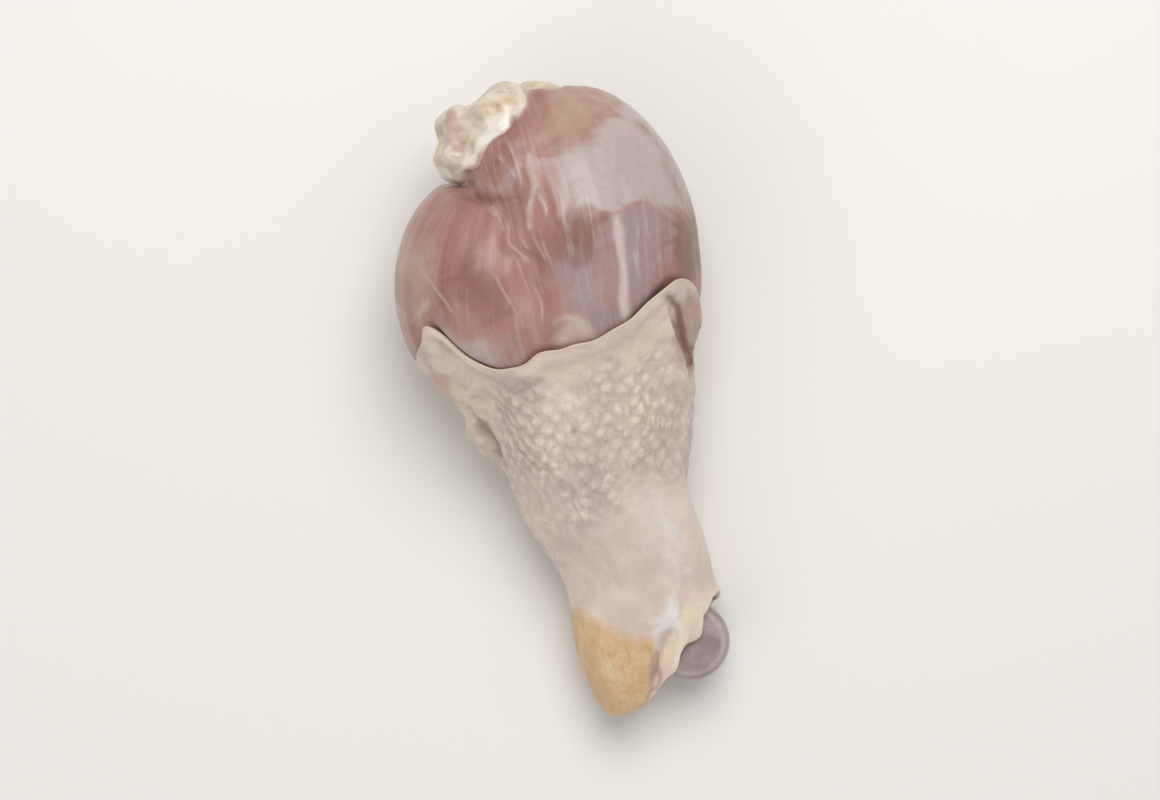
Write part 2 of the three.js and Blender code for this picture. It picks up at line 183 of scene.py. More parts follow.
# Zones of the surface, by the name of what they show: its strength, how far its border is spread in
# millimetres, and its outline seen from above.
MEAT_ZONES = {
    "meat_deep": [
        (0.9, 4, [(-12.9, 34.2), (-9.1, 26.8), (-9.6, 19.5), (-14.3, 18.1), (-16.6, 26.5)]),
        (0.6, 2.5, [(-8, 48.2), (-0.1, 51), (3.1, 49.7), (2, 45.4), (-4, 45.6)]),
    ],
    "membrane": [
        (0.45, 1.5, KNEE_DIP),
        (0.9, 4, [(3.6, 26), (11.8, 26), (10.4, 12), (1.2, 12), (1, 18.6)]),
        (0.85, 3, [(13, 34), (23.4, 31), (21.5, 21.3), (16.5, 13.8), (10, 12.5)]),
        (0.6, 5, [(25, 47), (31, 40), (34, 22), (30, 32), (27, 42)]),
    ],
    "membrane_pale": [
        (0.35, 1.5, KNEE_DIP),
        # The next two: the glare of the wet membrane, painted as a pale patch: painted reflection.
        (0.76, 3.5, [
            (3.4, 42), (7.6, 46.5), (15.8, 50.4), (21.9, 52.4), (27.5, 48.2), (29.6, 41.3), (29.8, 32),
            (22.4, 31.6), (16.5, 34), (9.5, 35.4), (4.1, 36.2),
        ]),
        (0.75, 1.2, [
            (7, 37.5), (16, 38.5), (27, 36.5), (28, 32.6), (22.4, 31.6), (16.5, 34), (9.5, 35.4), (6, 36),
        ]),
        (0.75, 3, [
            (-23.6, 21.6), (-20.1, 17.8), (-14.4, 14.6), (-9, 12), (-11.3, 8.5), (-16.8, 11),
            (-23.5, 16.4),
        ]),
        (0.35, 3.5, [(-22.1, 42), (-17.8, 41), (-21.8, 29.9), (-27, 32.5)]),
    ],
    "meat_umber": [
        (0.75, 3, [(3.5, 36.5), (13.8, 35.5), (11.4, 23.8), (3.1, 23.7), (2.6, 30.3)]),
        # Painted shade where the bulb's right side turns away.
        (1, 3, [(22.6, 29.5), (32, 30.5), (31, 18), (24.5, 16.5), (21.6, 20)]),
    ],
    "fat_tint": [
        (0.75, 4, [(5.4, 48.4), (6.6, 56.5), (11.5, 58.5), (18.5, 56.4), (17.5, 52.2), (10.6, 49)]),
        (0.8, 2.5, [(-24.9, 29), (-24.1, 24.9), (-26.8, 19.5), (-29.4, 24.9), (-27.6, 29)]),
        (0.7, 4, [(-23, 40), (-20, 34), (-23, 24), (-30, 26), (-29, 36)]),
        (0.95, 3, EDGE_FAT),
    ],
    "tendon": [
        (0.45, 3, EDGE_FAT),
        # A painted highlight on the fatty spot of the calf.
        (0.5, 1.5, [(-26.1, 27.2), (-25.2, 25.6), (-25.9, 23.4), (-26.9, 25.2)]),
    ],
}
SKIN_ZONES = {
    "pimple": [
        (0.6, 4, [(-17, 7), (-19, -6), (-14, -13), (-6, -12), (-5, -2), (-8, 7)]),
        (0.5, 5, [(-9, -6), (4, -7), (5, -22), (-10, -22)]),
        (0.5, 4, [(3, 6), (16, 4), (18, -8), (13, -18), (3, -12), (-4, -4)]),
    ],
    "smooth": [
        (0.9, 2, [(-10, 9.5), (2, 10.5), (14, 12), (22, 16), (18, 6), (8, 5.2), (-7, 4.4)]),
        (0.8, 5, [(2, -22), (16, -20), (14, -42), (-8, -40), (-7, -26)]),
        (0.8, 3, [(-24, 22), (-17, 14), (-19, 0), (-26, -8), (-30, 14)]),
    ],
    "skin_shade": [
        # Greyer skin with painted shade on the upper left, where the sleeve's side turns from the light; and
        # darker over the lower sleeve.
        (0.45, 5, [(-12, 2), (-17.2, -2.2), (-14.9, -8.6), (-9.1, -7.9), (-8.1, 0)]),
        (0.6, 5, [(-9, -26), (2, -23), (15, -21), (16, -34), (8, -36.5), (-8, -37)]),
    ],
    "skin_thin": [
        (0.8, 5, [(-9.6, -9.9), (1.2, -13.5), (0.8, -20.3), (-7.8, -19.9), (-12, -14.5)]),
        (0.7, 3, [(-10.1, -20.6), (-1.7, -21.4), (-0.9, -27.2), (-9.1, -25.2)]),
        # Painted shade in the hollow of the ear, on thin skin.
        (0.8, 1.6, [(18.7, 12.5), (21.2, 11), (21.1, 4.1), (19.1, -0.6), (17.8, 4.8)]),
    ],
    "skin_cream": [
        (0.45, 2.5, [(-15, 9), (3.6, 9.5), (13, 11), (20.5, 17), (18.4, 9), (13.3, 3.9), (-6.4, 3.1)]),
        (0.5, 4, [(6.5, 2.5), (15.9, 0.2), (16.4, -9.9), (10.8, -15), (3.6, -8.9)]),
        (0.7, 3, [(-23.1, 19), (-19.5, 12), (-20, 4), (-23, 0), (-27, 10)]),
        (0.9, 1.5, [(10.8, -44.6), (10.2, -48.6), (7, -50.6), (4.6, -54.8), (4.2, -50), (6.6, -46)]),
        (0.9, 2.5, [(-18.5, 8), (-18.5, 1.5), (-21.5, -1), (-22, 3)]),
    ],
    "skin_pale": [
        (0.6, 6, [(7.2, -20.6), (14.8, -21.2), (13.8, -37.4), (8.7, -40.4), (4.7, -30.8)]),
        (1, 3, [(6.6, -39), (6, -47.5), (2.6, -48), (1.6, -42.5)]),
        (0.4, 3, [(-22.5, 22), (-22, 15), (-25, 14), (-26.5, 18)]),
    ],
    "skin_flesh": [
        (0.85, 2.5, [(22.4, 12), (24.5, 15.5), (28, 13), (28, 4), (24, -1), (21.5, 3)]),
        # Along the tab's outline: partly flesh showing, partly painted shade where the tab's side turns away.
        (0.9, 3, [(-21.5, 14), (-21.5, 6), (-20, -1), (-27, -6), (-28, 8), (-28, 14)]),
        (0.9, 1, [(3.4, -50.6), (4.4, -53.4), (2.2, -57.4), (-0.4, -58.8), (1, -55), (2, -51.4)]),
    ],
    "slit": [
        # The wedge left of the ear's slit: painted shade.
        (0.32, 2.2, [(22.3, 15), (22.8, 6), (21.6, 2.6), (17.4, 0.4), (15.8, 6), (18, 11.5)]),
    ],
}
# The same on any side: strength, direction and y of the middle, half width in degrees and half length.
MEAT_SIDES = {
    "meat_deep": [(0.8, 200, 34, 40, 14)],
    "meat_umber": [(0.7, 330, 34, 25, 12)],
    "membrane": [(0.6, 250, 45, 30, 10), (0.6, 345, 42, 18, 9)],
    "membrane_pale": [(0.3, 175, 44, 25, 9)],
    "fat_tint": [(0.7, 215, 50, 25, 8), (0.6, 300, 20, 14, 7)],
}
SKIN_SIDES = {
    "pimple": [(0.35, 190, -8, 45, 22), (0.4, 330, -6, 50, 20), (0.3, 250, -14, 40, 16)],
    "skin_cream": [(0.8, 215, 5, 35, 14), (0.5, 310, -30, 40, 14)],
    "skin_thin": [(0.6, 350, -12, 25, 12), (0.5, 185, -26, 30, 9)],
    "skin_shade": [(0.6, 235, -30, 40, 14)],
    "loose": [(1, 160, 9, 22, 11), (0.6, 18, 9, 24, 12), (0.7, 265, 28, 50, 16), (0.4, 110, -14, 26, 9)],
}

# Lines seen from above: seams between muscles, white tissue and a white band that is partly a painted
# highlight, and the shade in the slit of the ear.
CALF_SEAM = [(-10, 43.9), (-6.7, 38.3), (-4.7, 32.2), (-3.6, 26.3), (-2.8, 20.9), (-2.1, 13)]
KNEE_SEAM = [(-15, 48), (-9.7, 43.6), (-5.5, 39.7), (-0.8, 39.4)]
KNEE_STRAND = [(2.4, 46.5), (1.6, 43.5), (0.4, 40), (-0.6, 36.5), (-1.2, 34)]
WHITE_BAND = [(16, 37), (14.9, 31), (14.4, 27.4), (13.2, 19.9), (11.8, 10)]
FAT_STRAND = [(-15, 48), (-11.8, 48), (-8.4, 49.8), (-4.8, 51.4), (-1.6, 54), (1.2, 56.4)]
SLIT_SHADE = [(21.2, 15), (21.8, 11), (22.2, 6.2), (22, 2.5)]
FINE_STRANDS = [
    [(-10, 43.9), (-6.7, 38.3), (-4.9, 31.4), (-4.2, 25.6), (-3.7, 18.9)],
    [(-8.2, 40.2), (-4.4, 34.4), (-2.6, 27.6), (-1.4, 15.6)],
    [(2.4, 46), (1, 41), (-1, 36), (-2.4, 31)],
    [(0.4, 37.4), (0.1, 31), (1.1, 24.2), (0.8, 15.8)],
    [(-1.5, 34.8), (-0.9, 30.3), (0.6, 25)],
    [(-11.9, 45.2), (-8.6, 40.6), (-5, 33.7)],
    [(0.6, 41), (1.8, 37.4), (2, 33)],
    [(18.4, 33), (17.6, 27), (15.9, 20), (14, 13)],
    [(21.8, 30), (21, 25), (20, 19)],
]
# What stands up or sinks along them: line, half width and height.
MEAT_RIDGES = [
    (CALF_SEAM, 1.5, -0.7), (KNEE_SEAM, 1.2, -0.9), (KNEE_STRAND, 0.9, 0.2), (WHITE_BAND, 1.4, -0.25),
]
# A wander is a seed, and the push and the width of the waves that make what is drawn uneven.
ZONE_WANDERS = [(1, 1.6, 12), (2, 0.8, 4)]
RIDGE_WANDER = (3, 0.8, 7)
# White tissue along lines: line, wander, strength and half width.
WHITE_LINES = [(KNEE_STRAND, (5, 0.4, 7), 0.5, 0.9), (FAT_STRAND, (7, 0.8, 6), 0.6, 0.9)]
# The white band: white fascia, and partly a painted highlight along it.
BAND = dict(wander=(4, 0.5, 9), strength=0.65, fade=(0.2, 1.9), foot=(9, 15), top=(27, 37))
STRAND_ON_FAT = dict(wander=(7, 1.2, 5), width=1.5)

SIDES_MEET = (-6, 2)  # heights over the bone's line between which the lower side turns to the upper
LONGEST_RAY = 90.0
HALVINGS = 24
STEEPEST = 89  # how far rays lean to the ends of a lump, in degrees


def lerp(low, high, share):
    return low + (high - low) * share


def smoothstep(value, low, high):
    share = np.clip((value - low) / (high - low), 0, 1)
    return share * share * (3 - 2 * share)


def bell(offset, width):
    """1 where the offset is 0, and about a third where it is `width`."""
    return np.exp(-((offset / width) ** 2))


def soft_min(a, b, blend):
    """Two fields joined, with the corner between them filled over `blend`."""
    near = np.maximum(blend - np.abs(a - b), 0) / blend
    return np.minimum(a, b) - near * near * blend / 4


def soft_max(a, b, blend):
    """What two fields share, with the corner rounded over `blend`."""
    return -soft_min(-a, -b, blend)


def length(vectors):
    return np.sqrt((vectors * vectors).sum(-1))


def sections(rows):
    """Smooth interpolation of rows that start with the value they are placed by."""
    rows = np.array(rows, float)
    places, values = rows[:, 0], rows[:, 1:]
    secants = np.diff(values, axis=0) / np.diff(places)[:, None]
    slopes = np.vstack([secants[:1], (secants[1:] + secants[:-1]) / 2, secants[-1:]])

    def through(place):
        place = np.clip(place, places[0], places[-1])
        i = np.clip(np.searchsorted(places, place, side="right") - 1, 0, len(places) - 2)
        width = (places[i + 1] - places[i])[..., None]
        t = ((place - places[i])[..., None]) / width
        left = (1 + 2 * t) * (1 - t) ** 2 * values[i] + t * (1 - t) ** 2 * width * slopes[i]
        right = t * t * (3 - 2 * t) * values[i + 1] - t * t * (1 - t) * width * slopes[i + 1]
        return left + right

    return through


def edge(points):
    """The same for an edge that runs round the bone's line and meets itself."""
    through = sections([(angle + turn, y) for turn in (-360, 0, 360) for angle, y in points])
    return lambda angle: through(angle)[..., 0]


shank_at = sections(SHANK)
knee_edge = edge(KNEE_EDGE)
hock_edge = sections(
    [(start + turn, end + turn, y) for turn in (-360, 0, 360) for start, end, y in HOCK_EDGE]
)
yellow_edge = edge(YELLOW_EDGE)


def turn_from(middle, angle):
    """The turn from the direction `middle` to `angle`, the short way round."""
    return np.mod(angle - middle + 180, 360) - 180


def bell_round(angle, middle, width):
    """A bell round the bone's line, with its top in the direction `middle`."""
    return bell(turn_from(middle, angle), width)


def bone_line(y):
    """The point of the bone's line at y: the middle of the shank, then on to the middle of the knee."""
    y = np.asarray(y, float)
    x, z = np.moveaxis(shank_at(np.minimum(y, SHANK_TOP))[..., :2], -1, 0)
    to_knee = smoothstep(y, SHANK_TOP, KNEE_HEAD["centre"][1])
    knee_x, _, knee_z = KNEE_HEAD["centre"]
    return np.stack([lerp(x, knee_x, to_knee), y, lerp(z, knee_z, to_knee)], -1)


def direction_of(p):
    """The direction of a point round the bone's line, in degrees."""
    middle = bone_line(p[..., 1])
    return np.degrees(np.arctan2(p[..., 2] - middle[..., 2], p[..., 0] - middle[..., 0]))


def ellipsoid(centre, radii, lean=0.0):
    centre, radii = np.array(centre, float), np.array(radii, float)
    along, across = math.cos(math.radians(lean)), math.sin(math.radians(lean))

    def field(p):
        dx, dy, dz = np.moveaxis(p - centre, -1, 0)
        turned = np.stack([along * dx + across * dy, along * dy - across * dx, dz], -1)
        share = length(turned / radii)
        slope = length(turned / radii**2)
        return share * (share - 1) / np.maximum(slope, 1e-9)

    return field


def joined(fields, blend):
    def field(p):
        total = fields[0](p)
        for other in fields[1:]:
            total = soft_min(total, other(p), blend)
        return total

    return field


def shank(p):
    """The shank: elliptic cross-sections that follow the bone's line."""
    x, z, half_width, half_depth = np.moveaxis(shank_at(p[..., 1]), -1, 0)
    dx, dz = p[..., 0] - x, p[..., 2] - z
    share = np.hypot(dx / half_width, dz / half_depth)
    slope = np.hypot(dx / half_width**2, dz / half_depth**2)
    section = share * (share - 1) / np.maximum(slope, 1e-9)
    return soft_max(section, p[..., 1] - SHANK_TOP, SHANK_BLEND)


def knee_cut(p):
    lean = math.radians(KNEE_CUT["lean"])
    return (p[..., 1] - KNEE_CUT["y"]) * math.cos(lean) - (p[..., 2] - KNEE_CUT["z"]) * math.sin(lean)


def squeeze(p):
    """How far the skin holds the flesh in at a point."""
    angle, y = direction_of(p), p[..., 1]
    let_go_from = knee_edge(angle) - SQUEEZE["early"]
    tightened = smoothstep(y, SQUEEZE["start"], SQUEEZE["full"])
    let_go = smoothstep(y, let_go_from, let_go_from + SQUEEZE["let_go"])
    free = bell_round(angle, SQUEEZE["free"], SQUEEZE["free_width"])
    return SQUEEZE["depth"] * tightened * (1 - let_go) * (1 - free)


def bedded(field):
    """Flesh that rests on the skin below it, flattened where it lies."""
    return lambda p: soft_max(field(p), SETTLED - p[..., 2], BED_BLEND)


calf = ellipsoid(**CALF)
shin = ellipsoid(**SHIN)
knee_muscle = ellipsoid(**KNEE_MUSCLE)
joint = ellipsoid(**JOINT)
muscles = [calf, shin, knee_muscle, joint]


def bellies(blend):
    together = joined(muscles, blend)
    return lambda p: soft_max(together(p), knee_cut(p), KNEE_CUT["blend"])


bare_field = joined([bellies(MUSCLE_BLEND), shank], SKIN_BLEND)
limb_field = joined([bellies(SKIN_BLEND), shank], SKIN_BLEND)


def condyle(side):
    x, y, z = PULLEY["centre"]
    radii = (PULLEY["radius"], PULLEY["radius"], PULLEY["thickness"] / 2)
    return ellipsoid((x, y, z + side * PULLEY["spacing"]), radii)


pulley = joined([condyle(-0.5), condyle(0.5)], PULLEY["groove"])
heel = ellipsoid(**HEEL)


@bedded
def covered_field(p):
    """What the skin lies on."""
    hock = soft_min(heel(p), pulley(p), HOCK_BLEND)
    return soft_min(limb_field(p) + squeeze(p), hock, HEEL_BLEND)


def bone_middle(y):
    """The middle of the bone at y: the bone's line, but in the pulley at its hock end."""
    middle = bone_line(np.clip(y, PULLEY["centre"][1], KNEE_HEAD["centre"][1]))
    foot = PULLEY["centre"][1]
    to_pulley = 1 - smoothstep(middle[..., 1], foot, foot + SHAFT["lean"])
    middle[..., 0] = lerp(middle[..., 0], PULLEY["centre"][0], to_pulley)
    return middle


knee_head = ellipsoid(**KNEE_HEAD)


def shaft(p):
    return length(p - bone_middle(p[..., 1])) - SHAFT["radius"]


whole_bone = joined([shaft, pulley, knee_head], SHAFT["flare"])


def bone_field(p):
    return soft_max(whole_bone(p), p[..., 1] - PLATEAU["y"], PLATEAU["blend"])


fat_field = joined([ellipsoid(**lobe) for lobe in KNEE_FAT], FAT_BLEND)
fat_veil = ellipsoid(**FAT_VEIL)


def gristle_field(p):
    """The gristle and tendon that fill the heel under the skin, from the foot of the meat."""
    filling = np.maximum(soft_min(heel(p), shank(p), HEEL_BLEND), covered_field(p))
    tip = HEEL["centre"][1] - HEEL["radii"][1]
    ends = np.maximum(p[..., 1] - SHANK_FOOT + GRISTLE["gap"], tip + GRISTLE["short"] - p[..., 1])
    return soft_max(filling, ends, GRISTLE["blend"])


def fold_lift(folds, angle, y):
    """How far folds stand off the flesh, or cut in where their height is negative."""
    total = 0
    for (start_y, start_angle), (end_y, end_angle), width, height in folds:
        along = np.clip((start_y - y) / (start_y - end_y), 0, 1)
        risen = smoothstep(y, end_y - FOLD_END, end_y + FOLD_END)
        gone = smoothstep(y, start_y - FOLD_END, start_y + FOLD_END)
        middle = lerp(start_angle, end_angle, along)
        total = total + height * risen * (1 - gone) * bell_round(angle, middle, width)
    return total


def reach(field, origin, ray, level):
    """The points where `field` reaches `level` on rays, found by halving."""
    inside = np.zeros(np.broadcast(origin[..., 0], ray[..., 0]).shape)
    outside = np.full(inside.shape, LONGEST_RAY)
    for _ in range(HALVINGS):
        middle = (inside + outside) / 2
        below = field(origin + ray * middle[..., None]) < level
        inside = np.where(below, middle, inside)
        outside = np.where(below, outside, middle)
    return origin + ray * inside[..., None]


def ray_at(angle, rise=0.0):
    """A direction round the bone's line, raised towards the knee by `rise`. Both are in degrees."""
    angle, rise = np.broadcast_arrays(np.radians(angle), np.radians(rise))
    return np.stack([np.cos(angle) * np.cos(rise), np.sin(rise), np.sin(angle) * np.cos(rise)], -1)


def directions(count, finer=0.0):
    """Directions all round, from straight down to straight down. At the top they lie closer together by the
    share `finer`, and at the bottom further apart."""
    turn = 2 * np.pi * np.arange(count) / count
    return np.degrees(turn + finer * np.sin(turn)) - 90


def waves(angle, seed, slowest, fastest):
    """A ragged line round the bone's line, within about 1 each way."""
    random = np.random.default_rng(seed)
    counts = np.arange(slowest, fastest)
    turns = random.uniform(0, 2 * np.pi, len(counts))
    heights = random.uniform(0.3, 1, len(counts)) / np.sqrt(len(counts))
    return (heights * np.sin(np.radians(angle)[..., None] * counts + turns)).sum(-1)


def wobbled(p, seed, push, width):
    """Points pushed about smoothly by up to `push`, so that what is drawn from them has an uneven outline."""
    random = np.random.default_rng(seed)
    moved = np.zeros_like(p)
    for axis in range(3):
        for _ in range(5):
            wave = random.normal(0, 1, 3)
            wave *= 2 * np.pi / (width * random.uniform(0.7, 1.6) * np.linalg.norm(wave))
            moved[..., axis] += np.sin(p @ wave + random.uniform(0, 2 * np.pi))
    return p + moved * push / 2


def from_line(p, line):
    """The distance of points from a line, seen from above."""
    x, y = p[..., 0], p[..., 1]
    nearest = np.full(x.shape, np.inf)
    for (x0, y0), (x1, y1) in zip(line, line[1:]):
        dx, dy = x1 - x0, y1 - y0
        share = np.clip(((x - x0) * dx + (y - y0) * dy) / (dx * dx + dy * dy), 0, 1)
        nearest = np.minimum(nearest, np.hypot(x - x0 - share * dx, y - y0 - share * dy))
    return nearest


def above(p):
    """1 on the upper side and 0 on the lower side."""
    return smoothstep(p[..., 2] - bone_line(p[..., 1])[..., 2], *SIDES_MEET)


def inside(p, soft, outline):
    """1 inside an outline seen from above and 0 outside it, on the upper side only."""
    x, y = p[..., 0], p[..., 1]
    closed = [*outline, outline[0]]
    within = np.zeros(x.shape, bool)
    for (x0, y0), (x1, y1) in zip(closed, closed[1:]):
        if y0 != y1:
            within ^= ((y0 > y) != (y1 > y)) & (x < x0 + (x1 - x0) * (y - y0) / (y1 - y0))
    distance = from_line(p, closed)
    return (1 - smoothstep(np.where(within, -distance, distance), -soft, soft)) * above(p)


def spot(p, direction, y, half_angle, half_length):
    """The same on any side, placed by direction and y."""
    share = np.hypot(turn_from(direction, direction_of(p)) / half_angle, (p[..., 1] - y) / half_length)
    return 1 - smoothstep(share, 0.5, 1.5)


def zoned(p, zones, sides):
    """For each name in the zones, how strongly points show it. The borders are uneven."""
    for wander in ZONE_WANDERS:
        p = wobbled(p, *wander)
    shown = {}
    for table, share_of in ((zones, inside), (sides, spot)):
        for name, rows in table.items():
            for strength, *place in rows:
                shown[name] = np.maximum(shown.get(name, 0), strength * share_of(p, *place))
    return shown


# ---------------------------------------------------------------------------------------------------------
# Meshes.


def grid_mesh(name, points, closed_ends):
    """A mesh from rings of points in millimetres. Its ends are closed by points, or its rings meet."""
    rows, columns = points.shape[:2]
    vertices = points.reshape(-1, 3)
    i = np.arange(rows - 1 if closed_ends else rows)[:, None]
    j = np.arange(columns)[None, :]
    low, high = i * columns, ((i + 1) % rows) * columns
    after = (j + 1) % columns
    quads = np.stack([low + j, high + j, high + after, low + after], -1).reshape(-1, 4)
    loops, sizes = [quads.ravel()], [np.full(len(quads), 4)]
    if closed_ends:
        tips = np.stack([points[0].mean(0), points[-1].mean(0)])
        vertices = np.vstack([vertices, tips])
        first, last = np.arange(columns), (rows - 1) * columns + np.arange(columns)
        start = np.stack([np.full(columns, len(vertices) - 2), first, np.roll(first, -1)], -1)
        end = np.stack([np.full(columns, len(vertices) - 1), np.roll(last, -1), last], -1)
        loops += [start.ravel(), end.ravel()]
        sizes += [np.full(2 * columns, 3)]
    loops, sizes = np.concatenate(loops), np.concatenate(sizes)
    mesh = bpy.data.meshes.new(name)
    mesh.vertices.add(len(vertices))
    mesh.vertices.foreach_set("co", (vertices * MM).astype(np.float32).ravel())
    mesh.loops.add(len(loops))
    mesh.loops.foreach_set("vertex_index", loops.astype(np.int32))
    mesh.polygons.add(len(sizes))
    mesh.polygons.foreach_set("loop_start", (np.cumsum(sizes) - sizes).astype(np.int32))
    mesh.polygons.foreach_set("use_smooth", np.ones(len(sizes), bool))
    mesh.update(calc_edges=True)
    mesh.validate()
    return mesh


def store(mesh, name, values):
    """Keeps a number or a vector for each vertex. The closing points of the ends get their ring's mean."""
    values = np.asarray(values, np.float32)
    kind, wide = ("FLOAT_VECTOR", "vector") if values.ndim == 3 else ("FLOAT", "value")
    flat = values.reshape(-1, *values.shape[2:])
    if len(mesh.vertices) > len(flat):
        flat = np.concatenate([flat, values[:1].mean(1), values[-1:].mean(1)])
    attribute = mesh.attributes.new(name, kind, "POINT")
    attribute.data.foreach_set(wide, np.ascontiguousarray(flat, np.float32).ravel())


def arc(points, axis):
    """The length along a grid of points in one direction, from its start."""
    steps = length(np.diff(points, axis=axis))
    lead = np.zeros_like(np.take(points[..., 0], [0], axis))
    return np.concatenate([lead, np.cumsum(steps, axis)], axis)


def grain_round(angle, along, radius=22.0):
    """Pattern coordinates in metres that meet themselves round the bone's line."""
    turn = np.radians(np.broadcast_to(angle, along.shape))
    return np.stack([radius * np.cos(turn), along, radius * np.sin(turn)], -1) * MM


def show(mesh, name):
    piece = bpy.data.objects.new(name, mesh)
    bpy.context.scene.collection.objects.link(piece)
    return piece


def setting_name(label):
    return label.lower().replace(" ", "_")


def with_relief(piece, tree, **given):
    """Runs a node tree on a piece and keeps the result as its plain mesh. The tree's inputs are given by
    name, or keep their defaults."""
    modifier = piece.modifiers.new("relief", "NODES")
    modifier.node_group = tree
    for item in tree.interface.items_tree:
        name = setting_name(item.name)
        if item.in_out == "INPUT" and name in given:
            modifier[item.identifier] = given[name]
    graph = bpy.context.evaluated_depsgraph_get()
    made = bpy.data.meshes.new_from_object(piece.evaluated_get(graph), depsgraph=graph)
    if not made.polygons:
        raise RuntimeError(f"{tree.name} left nothing of {piece.name}")
    piece.modifiers.remove(modifier)
    plain, piece.data = piece.data, made
    bpy.data.meshes.remove(plain)
    made.name = piece.name
    return piece


def stand_in(piece, *nodes, slot):
    """The piece takes the place of these solids."""
    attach(piece, "root")
    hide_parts(*nodes)


# ---------------------------------------------------------------------------------------------------------
# Nodes.


def linear(colour):
    """An sRGB hex colour as linear red, green and blue."""
    channels = [int(colour[i : i + 2], 16) / 255 for i in (1, 3, 5)]
    return [c / 12.92 if c <= 0.04045 else ((c + 0.055) / 1.055) ** 2.4 for c in channels]


def per(mm):
    """The scale of a pattern that repeats every so many millimetres, on coordinates in metres."""
    return 1 / (mm * MM)


def node(tree, kind, sockets=None, **settings):
    """Adds a node. `sockets` maps an input's name or number to its value, or to what it is linked to: an
    output, or a node for its first output."""
    made = tree.nodes.new(kind)
    for name, value in settings.items():
        setattr(made, name, value)
    for name, value in (sockets or {}).items():
        if isinstance(value, bpy.types.Node):
            value = value.outputs[0]
        if isinstance(value, bpy.types.NodeSocket):
            tree.links.new(value, made.inputs[name])
        else:
            made.inputs[name].default_value = value
    return made


def relief_tree(name, settings, *labels, **kinds):
    """A geometry tree with an input for each label, and their outputs in it. An input is a number, and its
    default is the setting of its name, unless `kinds` gives its kind."""
    tree = bpy.data.node_groups.new(name, "GeometryNodeTree")
    tree.interface.new_socket("Geometry", in_out="OUTPUT", socket_type="NodeSocketGeometry")
    kinds = {"Geometry": "Geometry", "Material": "Material", **kinds}
    for label in ("Geometry", *labels, "Seed", "Material"):
        kind = "NodeSocket" + kinds.get(label, "Float")
        socket = tree.interface.new_socket(label, in_out="INPUT", socket_type=kind)
        if label in labels and label not in kinds:
            socket.default_value = getattr(settings, setting_name(label))
    return tree, node(tree, "NodeGroupInput").outputs


def raised(tree, given, parts):
    """Moves the surface out by the sum of its parts, lays it flat where it would pass z = 0, and ends the
    tree in plain geometry with its material. A part is a name, a pattern, its height and the mask that holds
    it in. The piece keeps what shows of the pattern under the part's name."""
    geometry, height = given["Geometry"], 0.0
    for name, pattern, tall, mask in parts:
        held = node(tree, "GeometryNodeInputNamedAttribute", {"Name": mask})
        shown = node(tree, "ShaderNodeMath", {0: pattern, 1: held}, operation="MULTIPLY")
        height = node(tree, "ShaderNodeMath", {0: shown, 1: tall, 2: height}, operation="MULTIPLY_ADD")
        sockets = {"Geometry": geometry, "Name": name, "Value": shown}
        geometry = node(tree, "GeometryNodeStoreNamedAttribute", sockets)
    face = node(tree, "GeometryNodeInputNamedAttribute", {"Name": "face"})
    tall = node(tree, "ShaderNodeMath", {0: height, 1: face}, operation="MULTIPLY")
    normal = node(tree, "GeometryNodeInputNormal")
    offset = node(tree, "ShaderNodeVectorMath", {0: normal, "Scale": tall}, operation="SCALE")
    moved = node(tree, "GeometryNodeSetPosition", {"Geometry": geometry, "Offset": offset})
    place = node(tree, "GeometryNodeInputPosition")
    rested = node(tree, "ShaderNodeVectorMath", {0: place, 1: (-1, -1, 0)}, operation="MAXIMUM")
    laid = node(tree, "GeometryNodeSetPosition", {"Geometry": moved, "Position": rested})
    real = node(tree, "GeometryNodeRealizeInstances", {"Geometry": laid})
    coated = node(tree, "GeometryNodeSetMaterial", {"Geometry": real, "Material": given["Material"]})
    node(tree, "NodeGroupOutput", {"Geometry": coated})
    return tree


